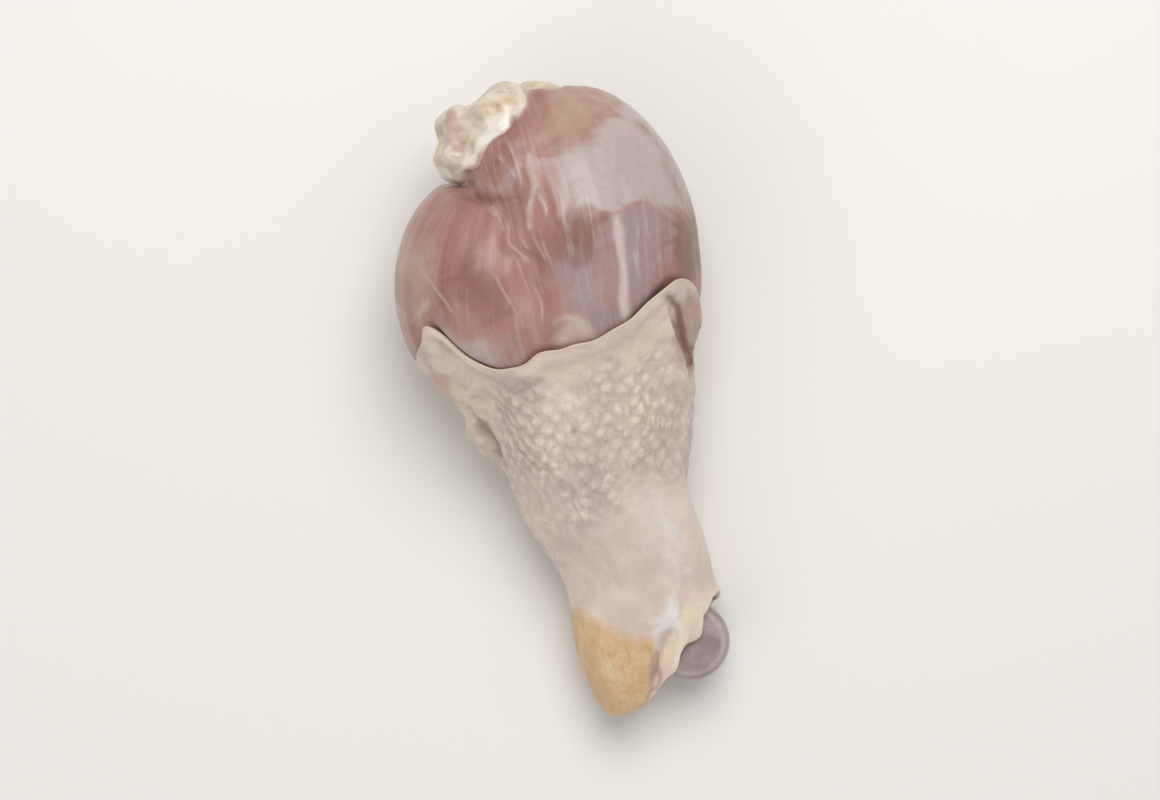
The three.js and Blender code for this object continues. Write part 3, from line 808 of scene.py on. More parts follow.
def skin_relief(settings):
    """Pimples round the feather follicles, in slanting rows, with creases between them; wrinkles where the
    skin is loose; and the scales of the hock."""
    tree, given = relief_tree(
        "skin_relief",
        settings,
        *("Pimple spacing", "Pimple height", "Crease depth", "Wrinkle width", "Wrinkle height"),
        *("Scale spacing", "Scale height", "Swell"),
    )
    wander_width, crease_width, swell_width = 6.3, 2.4, 11.8
    wander_push = 3 * MM
    slant = math.radians(38)  # of the rows of pimples
    flat, grain = [
        node(tree, "GeometryNodeInputNamedAttribute", {"Name": name}, data_type="FLOAT_VECTOR")
        for name in ("flat", "grain")
    ]
    scales = [
        node(tree, "ShaderNodeMath", {0: 1.0, 1: given[name]}, operation="DIVIDE")
        for name in ("Pimple spacing", "Scale spacing", "Wrinkle width")
    ]
    noises = [
        node(
            tree,
            "ShaderNodeTexNoise",
            {"Vector": grain, "W": given["Seed"], "Scale": scale, "Detail": detail, "Distortion": distortion},
            noise_dimensions="4D",
        )
        for scale, detail, distortion in (
            (per(wander_width), 2.0, 0.0),
            (per(crease_width), 3.0, 0.0),
            (per(swell_width), 2.0, 0.0),
            (scales[2], 2.0, 0.9),
        )
    ]
    wander, crossing, slow, folded = noises
    mean = (0.5, 0.5, 0.5)
    centred = node(tree, "ShaderNodeVectorMath", {0: wander.outputs[1], 1: mean}, operation="SUBTRACT")
    pushed = node(tree, "ShaderNodeVectorMath", {0: centred, "Scale": wander_push}, operation="SCALE")
    placed = node(tree, "ShaderNodeVectorMath", {0: flat, 1: pushed}, operation="ADD")
    slanted = node(tree, "ShaderNodeVectorRotate", {"Vector": placed, "Angle": slant}, rotation_type="Z_AXIS")
    cells = node(
        tree,
        "ShaderNodeTexVoronoi",
        {"Vector": slanted, "Scale": scales[0], "Randomness": 0.6},
        voronoi_dimensions="2D",
    )
    sockets = {0: cells, 1: 0.62, 2: 0.06}
    round_top = node(tree, "ShaderNodeMapRange", sockets, interpolation_type="SMOOTHSTEP")
    draw = node(tree, "FunctionNodeSeparateColor", {0: cells.outputs["Color"]})
    size = node(tree, "ShaderNodeMapRange", {0: draw, 3: 0.45, 4: 1.0})
    dome = node(tree, "ShaderNodeMath", {0: round_top, 1: size}, operation="MULTIPLY")
    off_line = node(tree, "ShaderNodeMath", {0: crossing, 1: 0.5}, operation="SUBTRACT")
    line = node(tree, "ShaderNodeMath", {0: off_line}, operation="ABSOLUTE")
    crease = node(tree, "ShaderNodeMapRange", {0: line, 1: 0.06, 2: 0.0, 3: 0.0, 4: -1.0})
    plates = node(
        tree,
        "ShaderNodeTexVoronoi",
        {"Vector": placed, "Scale": scales[1], "Randomness": 0.8},
        voronoi_dimensions="2D",
        feature="DISTANCE_TO_EDGE",
    )
    sockets = {0: plates, 1: 0.0, 2: 0.22}
    plate = node(tree, "ShaderNodeMapRange", sockets, interpolation_type="SMOOTHSTEP")
    swell, wrinkle = [
        node(tree, "ShaderNodeMapRange", {0: noise, 3: -0.5, 4: 0.5})
        for noise in (slow, folded)
    ]
    parts = [
        ("dome", dome, given["Pimple height"], "pimple"),
        ("crease", crease, given["Crease depth"], "pimple"),
        ("wrinkle", wrinkle, given["Wrinkle height"], "loose"),
        ("plate", plate, given["Scale height"], "yellow"),
        ("swell", swell, given["Swell"], "face"),
    ]
    return raised(tree, given, parts)


def muscle_relief(settings):
    """Fibres and bundles of fibres along the muscles, and strands of white tissue that lie on them."""
    tree, given = relief_tree(
        "muscle_relief",
        settings,
        *("Fibre width", "Fibre height", "Bundle width", "Bundle height"),
        *("Strands", "Strand width", "Strand height"),
        Strands="Object",
    )
    drawn_out = (1, 0.07, 1)
    wear_width = 3.3
    grain = node(tree, "GeometryNodeInputNamedAttribute", {"Name": "grain"}, data_type="FLOAT_VECTOR")
    stretched = node(tree, "ShaderNodeVectorMath", {0: grain, 1: drawn_out}, operation="MULTIPLY")
    fibres = []
    for name in ("Fibre width", "Bundle width"):
        scale = node(tree, "ShaderNodeMath", {0: 0.5, 1: given[name]}, operation="DIVIDE")
        sockets = {"Vector": stretched, "W": given["Seed"], "Scale": scale, "Detail": 2.0, "Distortion": 0.3}
        noise = node(tree, "ShaderNodeTexNoise", sockets, noise_dimensions="4D")
        fibres.append(node(tree, "ShaderNodeMath", {0: noise, 1: 0.5}, operation="SUBTRACT"))
    strands = node(tree, "GeometryNodeObjectInfo", {"Object": given["Strands"]}, transform_space="RELATIVE")
    lines = strands.outputs["Geometry"]
    near = node(tree, "GeometryNodeProximity", {0: lines}, target_element="EDGES").outputs["Distance"]
    narrow = node(tree, "ShaderNodeMath", {0: near, 1: given["Strand width"]}, operation="DIVIDE")
    sockets = {0: narrow, 1: 1.0, 2: 0.1}
    ridge = node(tree, "ShaderNodeMapRange", sockets, interpolation_type="SMOOTHSTEP")
    sockets = {"Vector": grain, "W": given["Seed"], "Scale": per(wear_width), "Detail": 2.0}
    wear = node(tree, "ShaderNodeTexNoise", sockets, noise_dimensions="4D")
    worn = node(tree, "ShaderNodeMapRange", {0: wear, 1: 0.35, 2: 0.6, 3: 0.3, 4: 1.0})
    strand = node(tree, "ShaderNodeMath", {0: ridge, 1: worn}, operation="MULTIPLY")
    parts = [
        ("fibre", fibres[0], given["Fibre height"], "bare"),
        ("bundle", fibres[1], given["Bundle height"], "bare"),
        ("strand", strand, given["Strand height"], "bare"),
    ]
    return raised(tree, given, parts)


def lobule_relief(settings):
    """The lobules of soft fat and the small dents of cut gristle."""
    tree, given = relief_tree("lobule_relief", settings, "Lobule size", "Lobule height")
    grain = node(tree, "GeometryNodeInputNamedAttribute", {"Name": "grain"}, data_type="FLOAT_VECTOR")
    scale = node(tree, "ShaderNodeMath", {0: 1.0, 1: given["Lobule size"]}, operation="DIVIDE")
    cells = node(
        tree,
        "ShaderNodeTexVoronoi",
        {"Vector": grain, "W": given["Seed"], "Scale": scale, "Randomness": 1.0, "Smoothness": 1.0},
        voronoi_dimensions="4D",
        feature="SMOOTH_F1",
    )
    sockets = {0: cells, 1: 0.7, 2: 0.1}
    lobule = node(tree, "ShaderNodeMapRange", sockets, interpolation_type="SMOOTHSTEP")
    return raised(tree, given, [("lobule", lobule, given["Lobule height"], "face")])


# ---------------------------------------------------------------------------------------------------------
# Materials.


def surface(name, settings, textures):
    """A new material: itself, its tree, its shader with `settings` on its own sockets, and its noises. A
    noise has the width of its blotches in millimetres and its detail. It lies on Object coordinates, or on
    coordinates that the piece keeps, which are squeezed by a scale."""
    material = bpy.data.materials.new(name)
    material.use_nodes = True
    tree = material.node_tree
    tree.nodes.clear()
    shader = node(tree, "ShaderNodeBsdfPrincipled", settings)
    node(tree, "ShaderNodeOutputMaterial", {"Surface": shader})
    noises = {}
    for seed, (label, (width, detail, *kept)) in enumerate(textures.items(), 1):
        place = node(tree, "ShaderNodeTexCoord").outputs["Object"]
        if kept:
            held = node(tree, "ShaderNodeAttribute", attribute_name=kept[0])
            place = node(tree, "ShaderNodeMapping", {"Vector": held.outputs["Vector"], "Scale": kept[1]})
        sockets = {"Vector": place, "W": float(seed), "Scale": per(width), "Detail": detail}
        noises[label] = node(tree, "ShaderNodeTexNoise", sockets, noise_dimensions="4D")
    return material, tree, shader, noises


def wet_tissue(name, ior, scatter, film, textures):
    """The same for wet flesh. `scatter` is the share of light that goes in, how far its red, green and blue
    go, and the depth in millimetres. `film` is the moisture's weight, roughness and IOR."""
    share, spread, depth = scatter
    inside = {"Subsurface Weight": share, "Subsurface Radius": spread, "Subsurface Scale": depth * MM}
    coat = zip(("Coat Weight", "Coat Roughness", "Coat IOR"), film)
    return surface(name, {"IOR": ior, **inside, **dict(coat)}, textures)


def painted(tree, colours, colour, layers, mottle):
    """Lays colours over a colour. A layer has its colour's name, the most that it covers, what it shows by,
    from and to which level it comes in, and how ragged the mottle makes its border. It shows by a noise or
    by what the piece keeps under a name."""
    if isinstance(colour, str):
        colour = (*getattr(colours, colour), 1)
    for over, most, shown, low, high, ragged in layers:
        if isinstance(shown, str):
            shown = node(tree, "ShaderNodeAttribute", attribute_name=shown).outputs["Fac"]
        if ragged:
            shown = node(tree, "ShaderNodeMath", {0: mottle, 1: ragged, 2: shown}, operation="MULTIPLY_ADD")
        low, high = low + ragged / 2, high + ragged / 2
        sockets = {0: shown, 1: low, 2: high, 4: most}
        share = node(tree, "ShaderNodeMapRange", sockets, interpolation_type="SMOOTHSTEP")
        sockets = {0: share, 6: colour, 7: (*getattr(colours, over), 1)}
        colour = node(tree, "ShaderNodeMix", sockets, data_type="RGBA").outputs[2]
    return colour


def shined(tree, shader, noise, low, high):
    """The roughness follows a noise, and is `low` and `high` at its ends."""
    rough = node(tree, "ShaderNodeMapRange", {0: noise, 1: 0.3, 2: 0.7, 3: low, 4: high})
    tree.links.new(rough.outputs[0], shader.inputs["Roughness"])


def finished(material, shader, colour, freckles, sheen, grain):
    """Ends a material. Freckles shade its colour, `sheen` is a noise with the roughness at its low and high
    ends, and `grain` lists bumps, each a noise with its height in millimetres and its strength."""
    tree = material.node_tree
    speckled = node(tree, "ShaderNodeMapRange", {0: freckles, 1: 0.3, 2: 0.7, 3: 0.94, 4: 1.05})
    sockets = {0: 1.0, 6: colour, 7: speckled}
    shaded = node(tree, "ShaderNodeMix", sockets, data_type="RGBA", blend_type="MULTIPLY")
    tree.links.new(shaded.outputs[2], shader.inputs["Base Color"])
    shined(tree, shader, *sheen)
    under = {}
    for noise, tall, strength in grain:
        sockets = {"Height": noise, "Distance": tall * MM, "Strength": strength, **under}
        under = {"Normal": node(tree, "ShaderNodeBump", sockets)}
    tree.links.new(under["Normal"].outputs[0], shader.inputs["Normal"])
    return material


def skin_material(colours):
    """Raw poultry skin: thin, fatty and wet. Light scatters in the fat under it, which gives the cream
    glow, and shows the flesh as a cool pink where it is thin. A moist film gives small soft highlights. Shade
    is painted into its hollows, creases and troughs, and light onto the tops of its pimples and wrinkles."""
    material, tree, shader, noises = wet_tissue(
        "raw_poultry_skin",
        1.42,
        (0.25, (1.0, 0.55, 0.35), 1.6),
        (0.3, 0.25, 1.36),
        {
            "blotches": (9, 3.0),
            "mottle": (2.2, 3.0),
            "fine": (0.5, 4.0),
            "amber": (3.5, 3.0),
            "wet": (4, 3.0),
        },
    )
    blotches, mottle, fine, amber, wet = noises.values()
    pimple, dome, kept = [
        node(tree, "ShaderNodeAttribute", attribute_name=name).outputs["Fac"]
        for name in ("pimple", "dome", "yellow")
    ]
    hollow = node(tree, "ShaderNodeMath", {0: pimple, 1: dome}, operation="SUBTRACT")
    colour = painted(tree, colours, "skin_light", [
        ("skin_shade", 1, blotches, 0.35, 0.72, 0),
        ("skin_shade", 1, "skin_shade", 0.1, 1, 0.7),
        ("skin_thin", 1, "skin_thin", 0.1, 1, 0.8),
        ("skin_cream", 0.9, "skin_cream", 0.1, 0.9, 0.6),
        ("skin_pale", 0.9, "skin_pale", 0.1, 0.9, 0.5),
        # Painted shade in the hollows between the pimples, in the creases and in the troughs of wrinkles, and
        # painted light on the tops of the pimples and the wrinkles.
        ("skin_hollow", 0.34, hollow, 0.15, 0.9, 0),
        ("skin_top", 0.32, "dome", 0.3, 0.9, 0),
        ("skin_hollow", 0.35, "crease", 0, -1, 0),
        ("skin_hollow", 0.35, "wrinkle", -0.04, -0.2, 0),
        ("skin_top", 0.35, "wrinkle", 0.03, 0.2, 0),
    ], mottle)
    yellow = painted(tree, colours, "hock_yellow", [
        ("hock_amber", 0.7, amber, 0.42, 0.72, 0),
        ("hock_pale", 0.7, blotches, 0.5, 0.3, 0),
        ("hock_pale", 0.5, mottle, 0.52, 0.75, 0),
        ("hock_amber", 0.35, "plate", 0.45, 0.0, 0),
    ], mottle)
    border = node(tree, "ShaderNodeMath", {0: mottle, 1: 0.9, 2: kept}, operation="MULTIPLY_ADD")
    share = node(tree, "ShaderNodeMapRange", {0: border, 1: 0.6, 2: 1.25})
    colour = node(tree, "ShaderNodeMix", {0: share, 6: colour, 7: yellow}, data_type="RGBA").outputs[2]
    colour = painted(tree, colours, colour, [
        ("skin_flesh", 0.8, "skin_flesh", 0.1, 0.9, 0.4),
        # Painted shade in the slit and wedge of the ear and along the tab's crease, and the dark pore of a
        # follicle.
        ("skin_slit", 0.85, "slit", 0.1, 1, 0.15),
        ("lining", 1, "face", 0.35, 0, 0),
    ], mottle)
    bumps = [(fine, 0.12, 0.5), (mottle, 0.3, 0.25)]
    return finished(material, shader, colour, fine, (wet, 0.36, 0.52), bumps)


def muscle_material(colours):
    """Raw dark poultry meat under a thin silvery membrane. The fibres give the grain, the blood left in them
    the dull rose, and the wet membrane a lilac veil with soft highlights."""
    along = (1.0, 0.06, 1.0)
    material, tree, shader, noises = wet_tissue(
        "raw_poultry_meat",
        1.4,
        (0.3, (1.0, 0.35, 0.25), 2.2),
        (0.4, 0.2, 1.36),
        {
            "fibre": (0.9, 4.0, "grain", along),
            "bundle": (3.2, 3.0, "grain", along),
            "blotches": (11, 3.0),
            "mottle": (3, 3.0),
            "fine": (0.6, 4.0),
        },
    )
    fibre, bundle, blotches, mottle, fine = noises.values()
    # Among these, the pale membrane also carries a painted reflection, the umber painted shade on the right
    # side, and the tendon painted highlights.
    under_fibres, over_fibres = [
        [(zone, 0.92, zone, 0.05, 0.95, 0.25) for zone in zones]
        for zones in (("meat_deep", "meat_umber", "membrane"), ("membrane_pale", "fat_tint", "tendon"))
    ]
    colour = painted(tree, colours, "meat_rose", [
        ("meat_deep", 0.6, blotches, 0.4, 0.72, 0),
        ("meat_deep", 0.4, bundle, 0.45, 0.7, 0),
        *under_fibres,
        ("membrane_pale", 0.25, fibre, 0.52, 0.72, 0),
        ("meat_umber", 0.3, fibre, 0.46, 0.3, 0),
        *over_fibres,
        ("tendon", 0.26, "strand", 0, 1, 0),
    ], mottle)
    bumps = [(fibre, 0.25, 0.35), (fine, 0.12, 0.4)]
    return finished(material, shader, colour, fine, (mottle, 0.34, 0.5), bumps)


def cartilage_material(colours):
    """Joint cartilage: glassy, wet and bluish, over bone that warms it from below."""
    material, tree, shader, noises = wet_tissue(
        "joint_cartilage",
        1.42,
        (0.4, (1.0, 0.7, 0.6), 2.5),
        (0.6, 0.12, 1.36),
        {"clouds": (4, 3.0), "fine": (0.8, 4.0)},
    )
    clouds, fine = noises.values()
    colour = painted(tree, colours, "cartilage", [
        ("cartilage_shade", 1, clouds, 0.35, 0.7, 0),
        # A painted highlight on the condyles' lips, and a paler knee end.
        ("cartilage_rim", 0.8, "rim", 0.1, 0.9, 0.3),
        ("marrow", 0.6, "marrow", 0.2, 1.2, 0.8),
    ], fine)
    return finished(material, shader, colour, fine, (clouds, 0.22, 0.36), [(fine, 0.1, 0.3)])


def fat_material(name, colours, light, dark, cloud_width):
    """Soft raw fat and gristle: creamy, waxy and scattering, with a greasy sheen and pink where flesh
    shows."""
    material, tree, shader, noises = wet_tissue(
        name,
        1.45,
        (0.4, (1.0, 0.7, 0.4), 2.0),
        (0.35, 0.2, 1.4),
        {"clouds": (cloud_width, 3.0), "spots": (3, 3.0), "fine": (0.7, 4.0)},
    )
    clouds, spots, fine = noises.values()
    colour = painted(tree, colours, light, [
        (dark, 1, clouds, 0.4, 0.7, 0),
        ("flesh", 0.55, "lobule", 0.4, 0, 0.4),
        ("flesh", 0.6, spots, 0.5, 0.68, 0),
        ("flesh", 0.9, "film", 0.2, 1, 0.7),
        ("fat_strand", 0.9, "membrane", 0.15, 0.9, 0.4),
    ], fine)
    return finished(material, shader, colour, fine, (fine, 0.3, 0.44), [(fine, 0.15, 0.4)])


def table_material(colour):
    """A matt laminate table top: an even pale sheet with a barely uneven sheen."""
    sockets = {"Base Color": (*colour, 1), "IOR": 1.45}
    material, tree, shader, noises = surface("matt_laminate", sockets, {"sheen": (30, 3.0)})
    shined(tree, shader, noises["sheen"], 0.55, 0.62)
    return material


# ---------------------------------------------------------------------------------------------------------
# What a user would change.


def size(label, about, millimetres):
    default = millimetres * MM
    shown = dict(unit="LENGTH", subtype="DISTANCE", precision=5)
    return FloatProperty(name=label, description=about, default=default, min=0, **shown)


def colour(label, about, default):
    return FloatVectorProperty(
        name=label, description=about, default=linear(default), subtype="COLOR", size=3, min=0, max=1
    )


class SkinSettings(bpy.types.PropertyGroup):
    """Sizes and colours of the skin."""

    pimple_spacing: size("Pimple spacing", "From one follicle to the next", 2.8)
    pimple_height: size("Pimple height", "How far a pimple stands up", 0.4)
    crease_depth: size("Crease depth", "Depth of the lines between pimples", 0.15)
    wrinkle_width: size("Wrinkle width", "From one wrinkle of loose skin to the next", 5.0)
    wrinkle_height: size("Wrinkle height", "From the bottom to the top of wrinkles", 2.2)
    scale_spacing: size("Scale spacing", "Width of a scale of the yellow hock skin", 1.7)
    scale_height: size("Scale height", "How far a scale stands up", 0.12)
    swell: size("Swell", "Slow unevenness of the sleeve", 0.9)
    ragged: size("Ragged edge", "How uneven the cut edges are", 0.35)
    skin_light: colour("Skin", "Main colour of the skin", "#e1cfc0")
    # Also painted shade on the upper left of the sleeve.
    skin_shade: colour("Skin shade", "Greyer patches of the skin", "#cbb9ad")
    # Also painted shade in the hollow of the ear.
    skin_thin: colour("Thin skin", "Where flesh shows through", "#ccb8b2")
    skin_cream: colour("Fatty skin", "Where fat lies under the skin", "#e0ceb4")
    # Also painted light along the bead of the knee edge.
    skin_pale: colour("Pale skin", "Where the skin is stretched over fat", "#e5e0db")
    # Also painted shade along the outline of the tab.
    skin_flesh: colour("Bare flesh", "Where the skin is torn at the hock", "#bd9a8d")
    # The next two are painted light on the tops of the relief and painted shade in its hollows, creases and
    # troughs.
    skin_top: colour("Pimple tops", "Tops of the pimples", "#e6d9c9")
    skin_hollow: colour("Hollows", "Between the pimples", "#a4938a")
    # The colour of the painted shade in the ear's slit and the tab's crease, and of a dark pore.
    skin_slit: colour("Slit", "Deep in the slit of the ear", "#7a4c3e")
    hock_yellow: colour("Yellow hock", "Main colour of the hock's skin", "#d3b18a")
    hock_amber: colour("Amber hock", "Deeper colour of the hock's skin", "#c99f68")
    hock_pale: colour("Pale hock", "Rubbed spots of the hock's skin", "#dcc7a6")
    lining: colour("Lining", "Inner face of the skin", "#cbb8a6")


class MeatSettings(bpy.types.PropertyGroup):
    """Sizes and colours of the meat."""

    fibre_width: size("Fibre width", "Width of a fibre", 0.8)
    fibre_height: size("Fibre height", "From the bottom to the top of fibres", 0.14)
    bundle_width: size("Bundle width", "Width of a bundle of fibres", 3.2)
    bundle_height: size("Bundle height", "From the bottom to the top of bundles", 1.1)
    strand_width: size("Strand width", "Half width of a white strand", 0.6)
    strand_height: size("Strand height", "How far a strand stands up", 0.12)
    meat_rose: colour("Rose", "Main colour of the meat", "#ab8073")
    meat_deep: colour("Deep rose", "Redder meat", "#8b5f52")
    # Also painted shade on the right side of the bulb.
    meat_umber: colour("Umber", "Darker, browner meat", "#7f5a49")
    membrane: colour("Membrane", "Lilac membrane over the meat", "#a18d8c")
    # Also a painted reflection: the glare of the wet membrane on the upper right of the bulb.
    membrane_pale: colour("Pale membrane", "Thick, pale membrane", "#bcafab")
    fat_tint: colour("Fat tint", "Meat with fat over it", "#b39a86")
    # Also painted highlights: a glint on the calf's fatty spot and part of the white band.
    tendon: colour("Tendon", "White tissue", "#d5cac2")


class BoneSettings(bpy.types.PropertyGroup):
    """Colours of the cartilage."""

    cartilage: colour("Cartilage", "Main colour", "#ab9999")
    cartilage_shade: colour("Cartilage shade", "Darker clouds", "#917f80")
    # Also a painted highlight on the lips of the condyles.
    cartilage_rim: colour("Cartilage rim", "Paler rim", "#cdbfbb")
    marrow: colour("Marrow", "Blood that shows through", "#8a4f4a")


class FatSettings(bpy.types.PropertyGroup):
    """Sizes and colours of the fat and the gristle."""

    lobule_size: size("Lobule size", "Width of a lobule of fat", 3.2)
    lobule_height: size("Lobule height", "How far a lobule of fat stands up", 0.6)
    dent_size: size("Dent size", "Width of a dent of the gristle", 1.6)
    dent_depth: size("Dent depth", "Depth of a dent of the gristle", 0.3)
    fat_light: colour("Fat", "Main colour of the fat", "#dacfbf")
    fat_dark: colour("Fat shade", "Yellower fat", "#cfb999")
    gristle_light: colour("Gristle", "Main colour of the gristle", "#e2d8ce")
    gristle_dark: colour("Gristle shade", "Duller gristle", "#c9b3a4")
    fat_strand: colour("White strand", "White tissue over the fat", "#e8e1d6")
    flesh: colour("Flesh", "Flesh between the lobules", "#b89888")


class StageSettings(bpy.types.PropertyGroup):
    """The table, the lights and the camera."""

    table: colour("Table", "Colour of the table top", "#e9e6e1")
    lean: FloatProperty(
        name="Lean",
        description="How far the knee leans to the left",
        default=math.radians(14),
        unit="ROTATION",
        subtype="ANGLE",
    )
    key: FloatProperty(name="Key light", description="Power of the main light", default=4.1, unit="POWER")
    fill: FloatProperty(name="Fill light", description="Power of the second light", default=0.8, unit="POWER")
    sky: FloatProperty(name="Sky", description="Strength of the light from all round", default=0.5)


class DrumstickSettings(bpy.types.PropertyGroup):
    """All settings of the drumstick."""

    skin: PointerProperty(type=SkinSettings)
    meat: PointerProperty(type=MeatSettings)
    bone: PointerProperty(type=BoneSettings)
    fat: PointerProperty(type=FatSettings)
    stage: PointerProperty(type=StageSettings)
    seed: IntProperty(name="Seed", description="Draw of everything uneven", default=7)


# ---------------------------------------------------------------------------------------------------------
# Pieces.


class DRUMSTICK_OT_meat(bpy.types.Operator):
    """Makes the muscles, bare towards the knee and hidden under the skin below it"""

    bl_idname = "drumstick.meat"
    bl_label = "Meat"

    around = 400
    finer_above = 0.5
    hidden_rings = 20
    straight_rings = 72
    fan_rings = 112
    straight_start = 2.0
    fan_start = 30.0  # from here up the rays fan out
    tuck = dict(depth=1.2, start=2, full=6)  # under the skin
    # What the meat meets, how deep it sinks there over which width, and how strong and wide its white rim is.
    meets = [(bone_field, 1.2, 1.6, 1, 2.2), (fat_field, 0.9, 1.3, 0.7, 1.4)]
    twist = 14  # of the calf's fibres over the length below, in degrees
    twist_length = 30
    # Patches of loose strands: middle x and y, half width and length, lean in degrees and count.
    patches = [(-2, 45, 2.5, 2, 12, 2), (-14, 30, 8, 9, 8, 2), (6, 26, 4, 7, 0, 3), (19, 24, 4, 7, 4, 2)]
    # Points, lengths, and spread of the lean, the place and the sway of strands.
    patch_steps = 40
    seam_steps = 60
    lengths = (9, 18)
    lean_spread = 7
    offset = 0.25
    sway = dict(step=0.03, share=(1, 0.2))  # sideways and lengthwise
    sunk_ends = 0.6

    def rays(self):
        """Where each ring of rays starts and how far it is raised: coarse under the skin, fine above."""
        hidden = np.linspace(SHANK_FOOT, self.straight_start, self.hidden_rings)[:-1]
        straight = np.linspace(self.straight_start, self.fan_start, self.straight_rings)[:-1]
        fan = np.linspace(0, STEEPEST, self.fan_rings)
        origins = np.concatenate([hidden, straight, np.full(len(fan), self.fan_start)])
        rises = np.concatenate([np.zeros(len(hidden) + len(straight)), fan])
        return origins, rises

    def form(self):
        angle = directions(self.around, self.finer_above)[None, :]
        origins, rises = self.rays()

        def field(p):
            under = knee_edge(direction_of(p)) - p[..., 1]
            tucked = self.tuck["depth"] * smoothstep(under, self.tuck["start"], self.tuck["full"])
            return bare_field(p) + squeeze(p) + tucked

        rays = ray_at(angle, rises[:, None])
        points = reach(bedded(field), bone_line(origins)[:, None, :], rays, 0)
        lift = 0
        for met, depth, width, *_ in self.meets:
            lift = lift - depth * bell(met(points), width)
        uneven = wobbled(points, *RIDGE_WANDER)
        for line, width, height in MEAT_RIDGES:
            lift = lift + height * bell(from_line(uneven, line), width) * above(points)
        return angle, points + rays * lift[..., None]

    def paint(self, mesh, angle, p):
        """Where the meat is redder, browner, veiled by membrane, fatty or white, and where glare, highlights
        and the shade of its right side are painted.
        """
        y = p[..., 1]
        on_calf = smoothstep(calf(p) - shin(p), 3, -3)
        twist = self.twist * on_calf * (y - self.twist_length) / self.twist_length
        store(mesh, "grain", grain_round(angle + twist, arc(p, 0) + SHANK_FOOT))
        store(mesh, "face", np.ones(p.shape[:2]))
        store(mesh, "bare", smoothstep(y - knee_edge(direction_of(p)), -3, 3))
        shown = zoned(p, MEAT_ZONES, MEAT_SIDES)
        rim = 0
        for met, _, _, strength, width in self.meets:
            rim = rim + strength * bell(met(p), width)
        # The white band: white fascia, and partly a painted highlight along it.
        off_band = from_line(wobbled(p, *BAND["wander"]), WHITE_BAND)
        band = BAND["strength"] * (1 - smoothstep(off_band, *BAND["fade"])) * above(p)
        band = band * smoothstep(y, *BAND["foot"]) * (1 - smoothstep(y, *BAND["top"]))
        white = shown["tendon"] + rim + band
        for line, wander, strength, width in WHITE_LINES:
            white = white + strength * bell(from_line(wobbled(p, *wander), line), width) * above(p)
        shown["tendon"] = np.clip(white, 0, 1)
        for name, values in shown.items():
            store(mesh, name, values)

    def strands(self, seed):
        """White strands over the seam between the calf and the shin and along the muscles, as edges."""
        random = np.random.default_rng(seed)

        def swaying(steps):
            return np.cumsum(random.normal(0, self.sway["step"], (steps, 1)), 0) * self.sway["share"]

        routes = []
        for line in FINE_STRANDS:
            through = sections([(k, *place) for k, place in enumerate(line)])
            start, end = random.uniform(0, 0.15), random.uniform(0.75, 1)
            t = np.linspace(start, end, self.seam_steps) * (len(line) - 1)
            drift = random.normal(0, self.offset, 2) + swaying(self.seam_steps)
            routes.append(through(t) + drift)
        for x, y, spread_x, spread_y, lean, count in self.patches:
            for _ in range(count):
                t = np.linspace(-0.5, 0.5, self.patch_steps)[:, None]
                turn = math.radians(lean + random.normal(0, self.lean_spread))
                ahead = np.array([-math.sin(turn), math.cos(turn)]) * random.uniform(*self.lengths)
                middle = np.array([x, y]) + random.uniform(-1, 1, 2) * (spread_x, spread_y)
                routes.append(middle + t * ahead + swaying(self.patch_steps))
        points, edges = [], []
        for route in routes:
            low = bone_line(route[:, 1])
            low[:, 0] = route[:, 0]
            up = np.broadcast_to([0.0, 0.0, 1.0], low.shape)
            on_meat = reach(lambda p: bare_field(p) + squeeze(p), low, up, 0)
            to_middle = np.abs(np.linspace(-1, 1, len(route)))
            on_meat[:, 2] -= self.sunk_ends * smoothstep(to_middle, 0.2, 1)
            edges += [(len(points) + k, len(points) + k + 1) for k in range(len(route) - 1)]
            points += list(on_meat * MM)
        mesh = bpy.data.meshes.new("strands")
        mesh.from_pydata(points, edges, [])
        return show(mesh, "strands")

    def execute(self, context):
        settings = context.scene.drumstick
        meat = settings.meat
        angle, points = self.form()
        mesh = grid_mesh("muscles", points, True)
        self.paint(mesh, angle, points)
        piece = show(mesh, "muscles")
        strands = self.strands(settings.seed)
        given = dict(strands=strands, seed=float(settings.seed), material=muscle_material(meat))
        with_relief(piece, muscle_relief(meat), **given)
        bpy.data.objects.remove(strands)
        stand_in(piece, "meat", slot="meat")
        return {"FINISHED"}


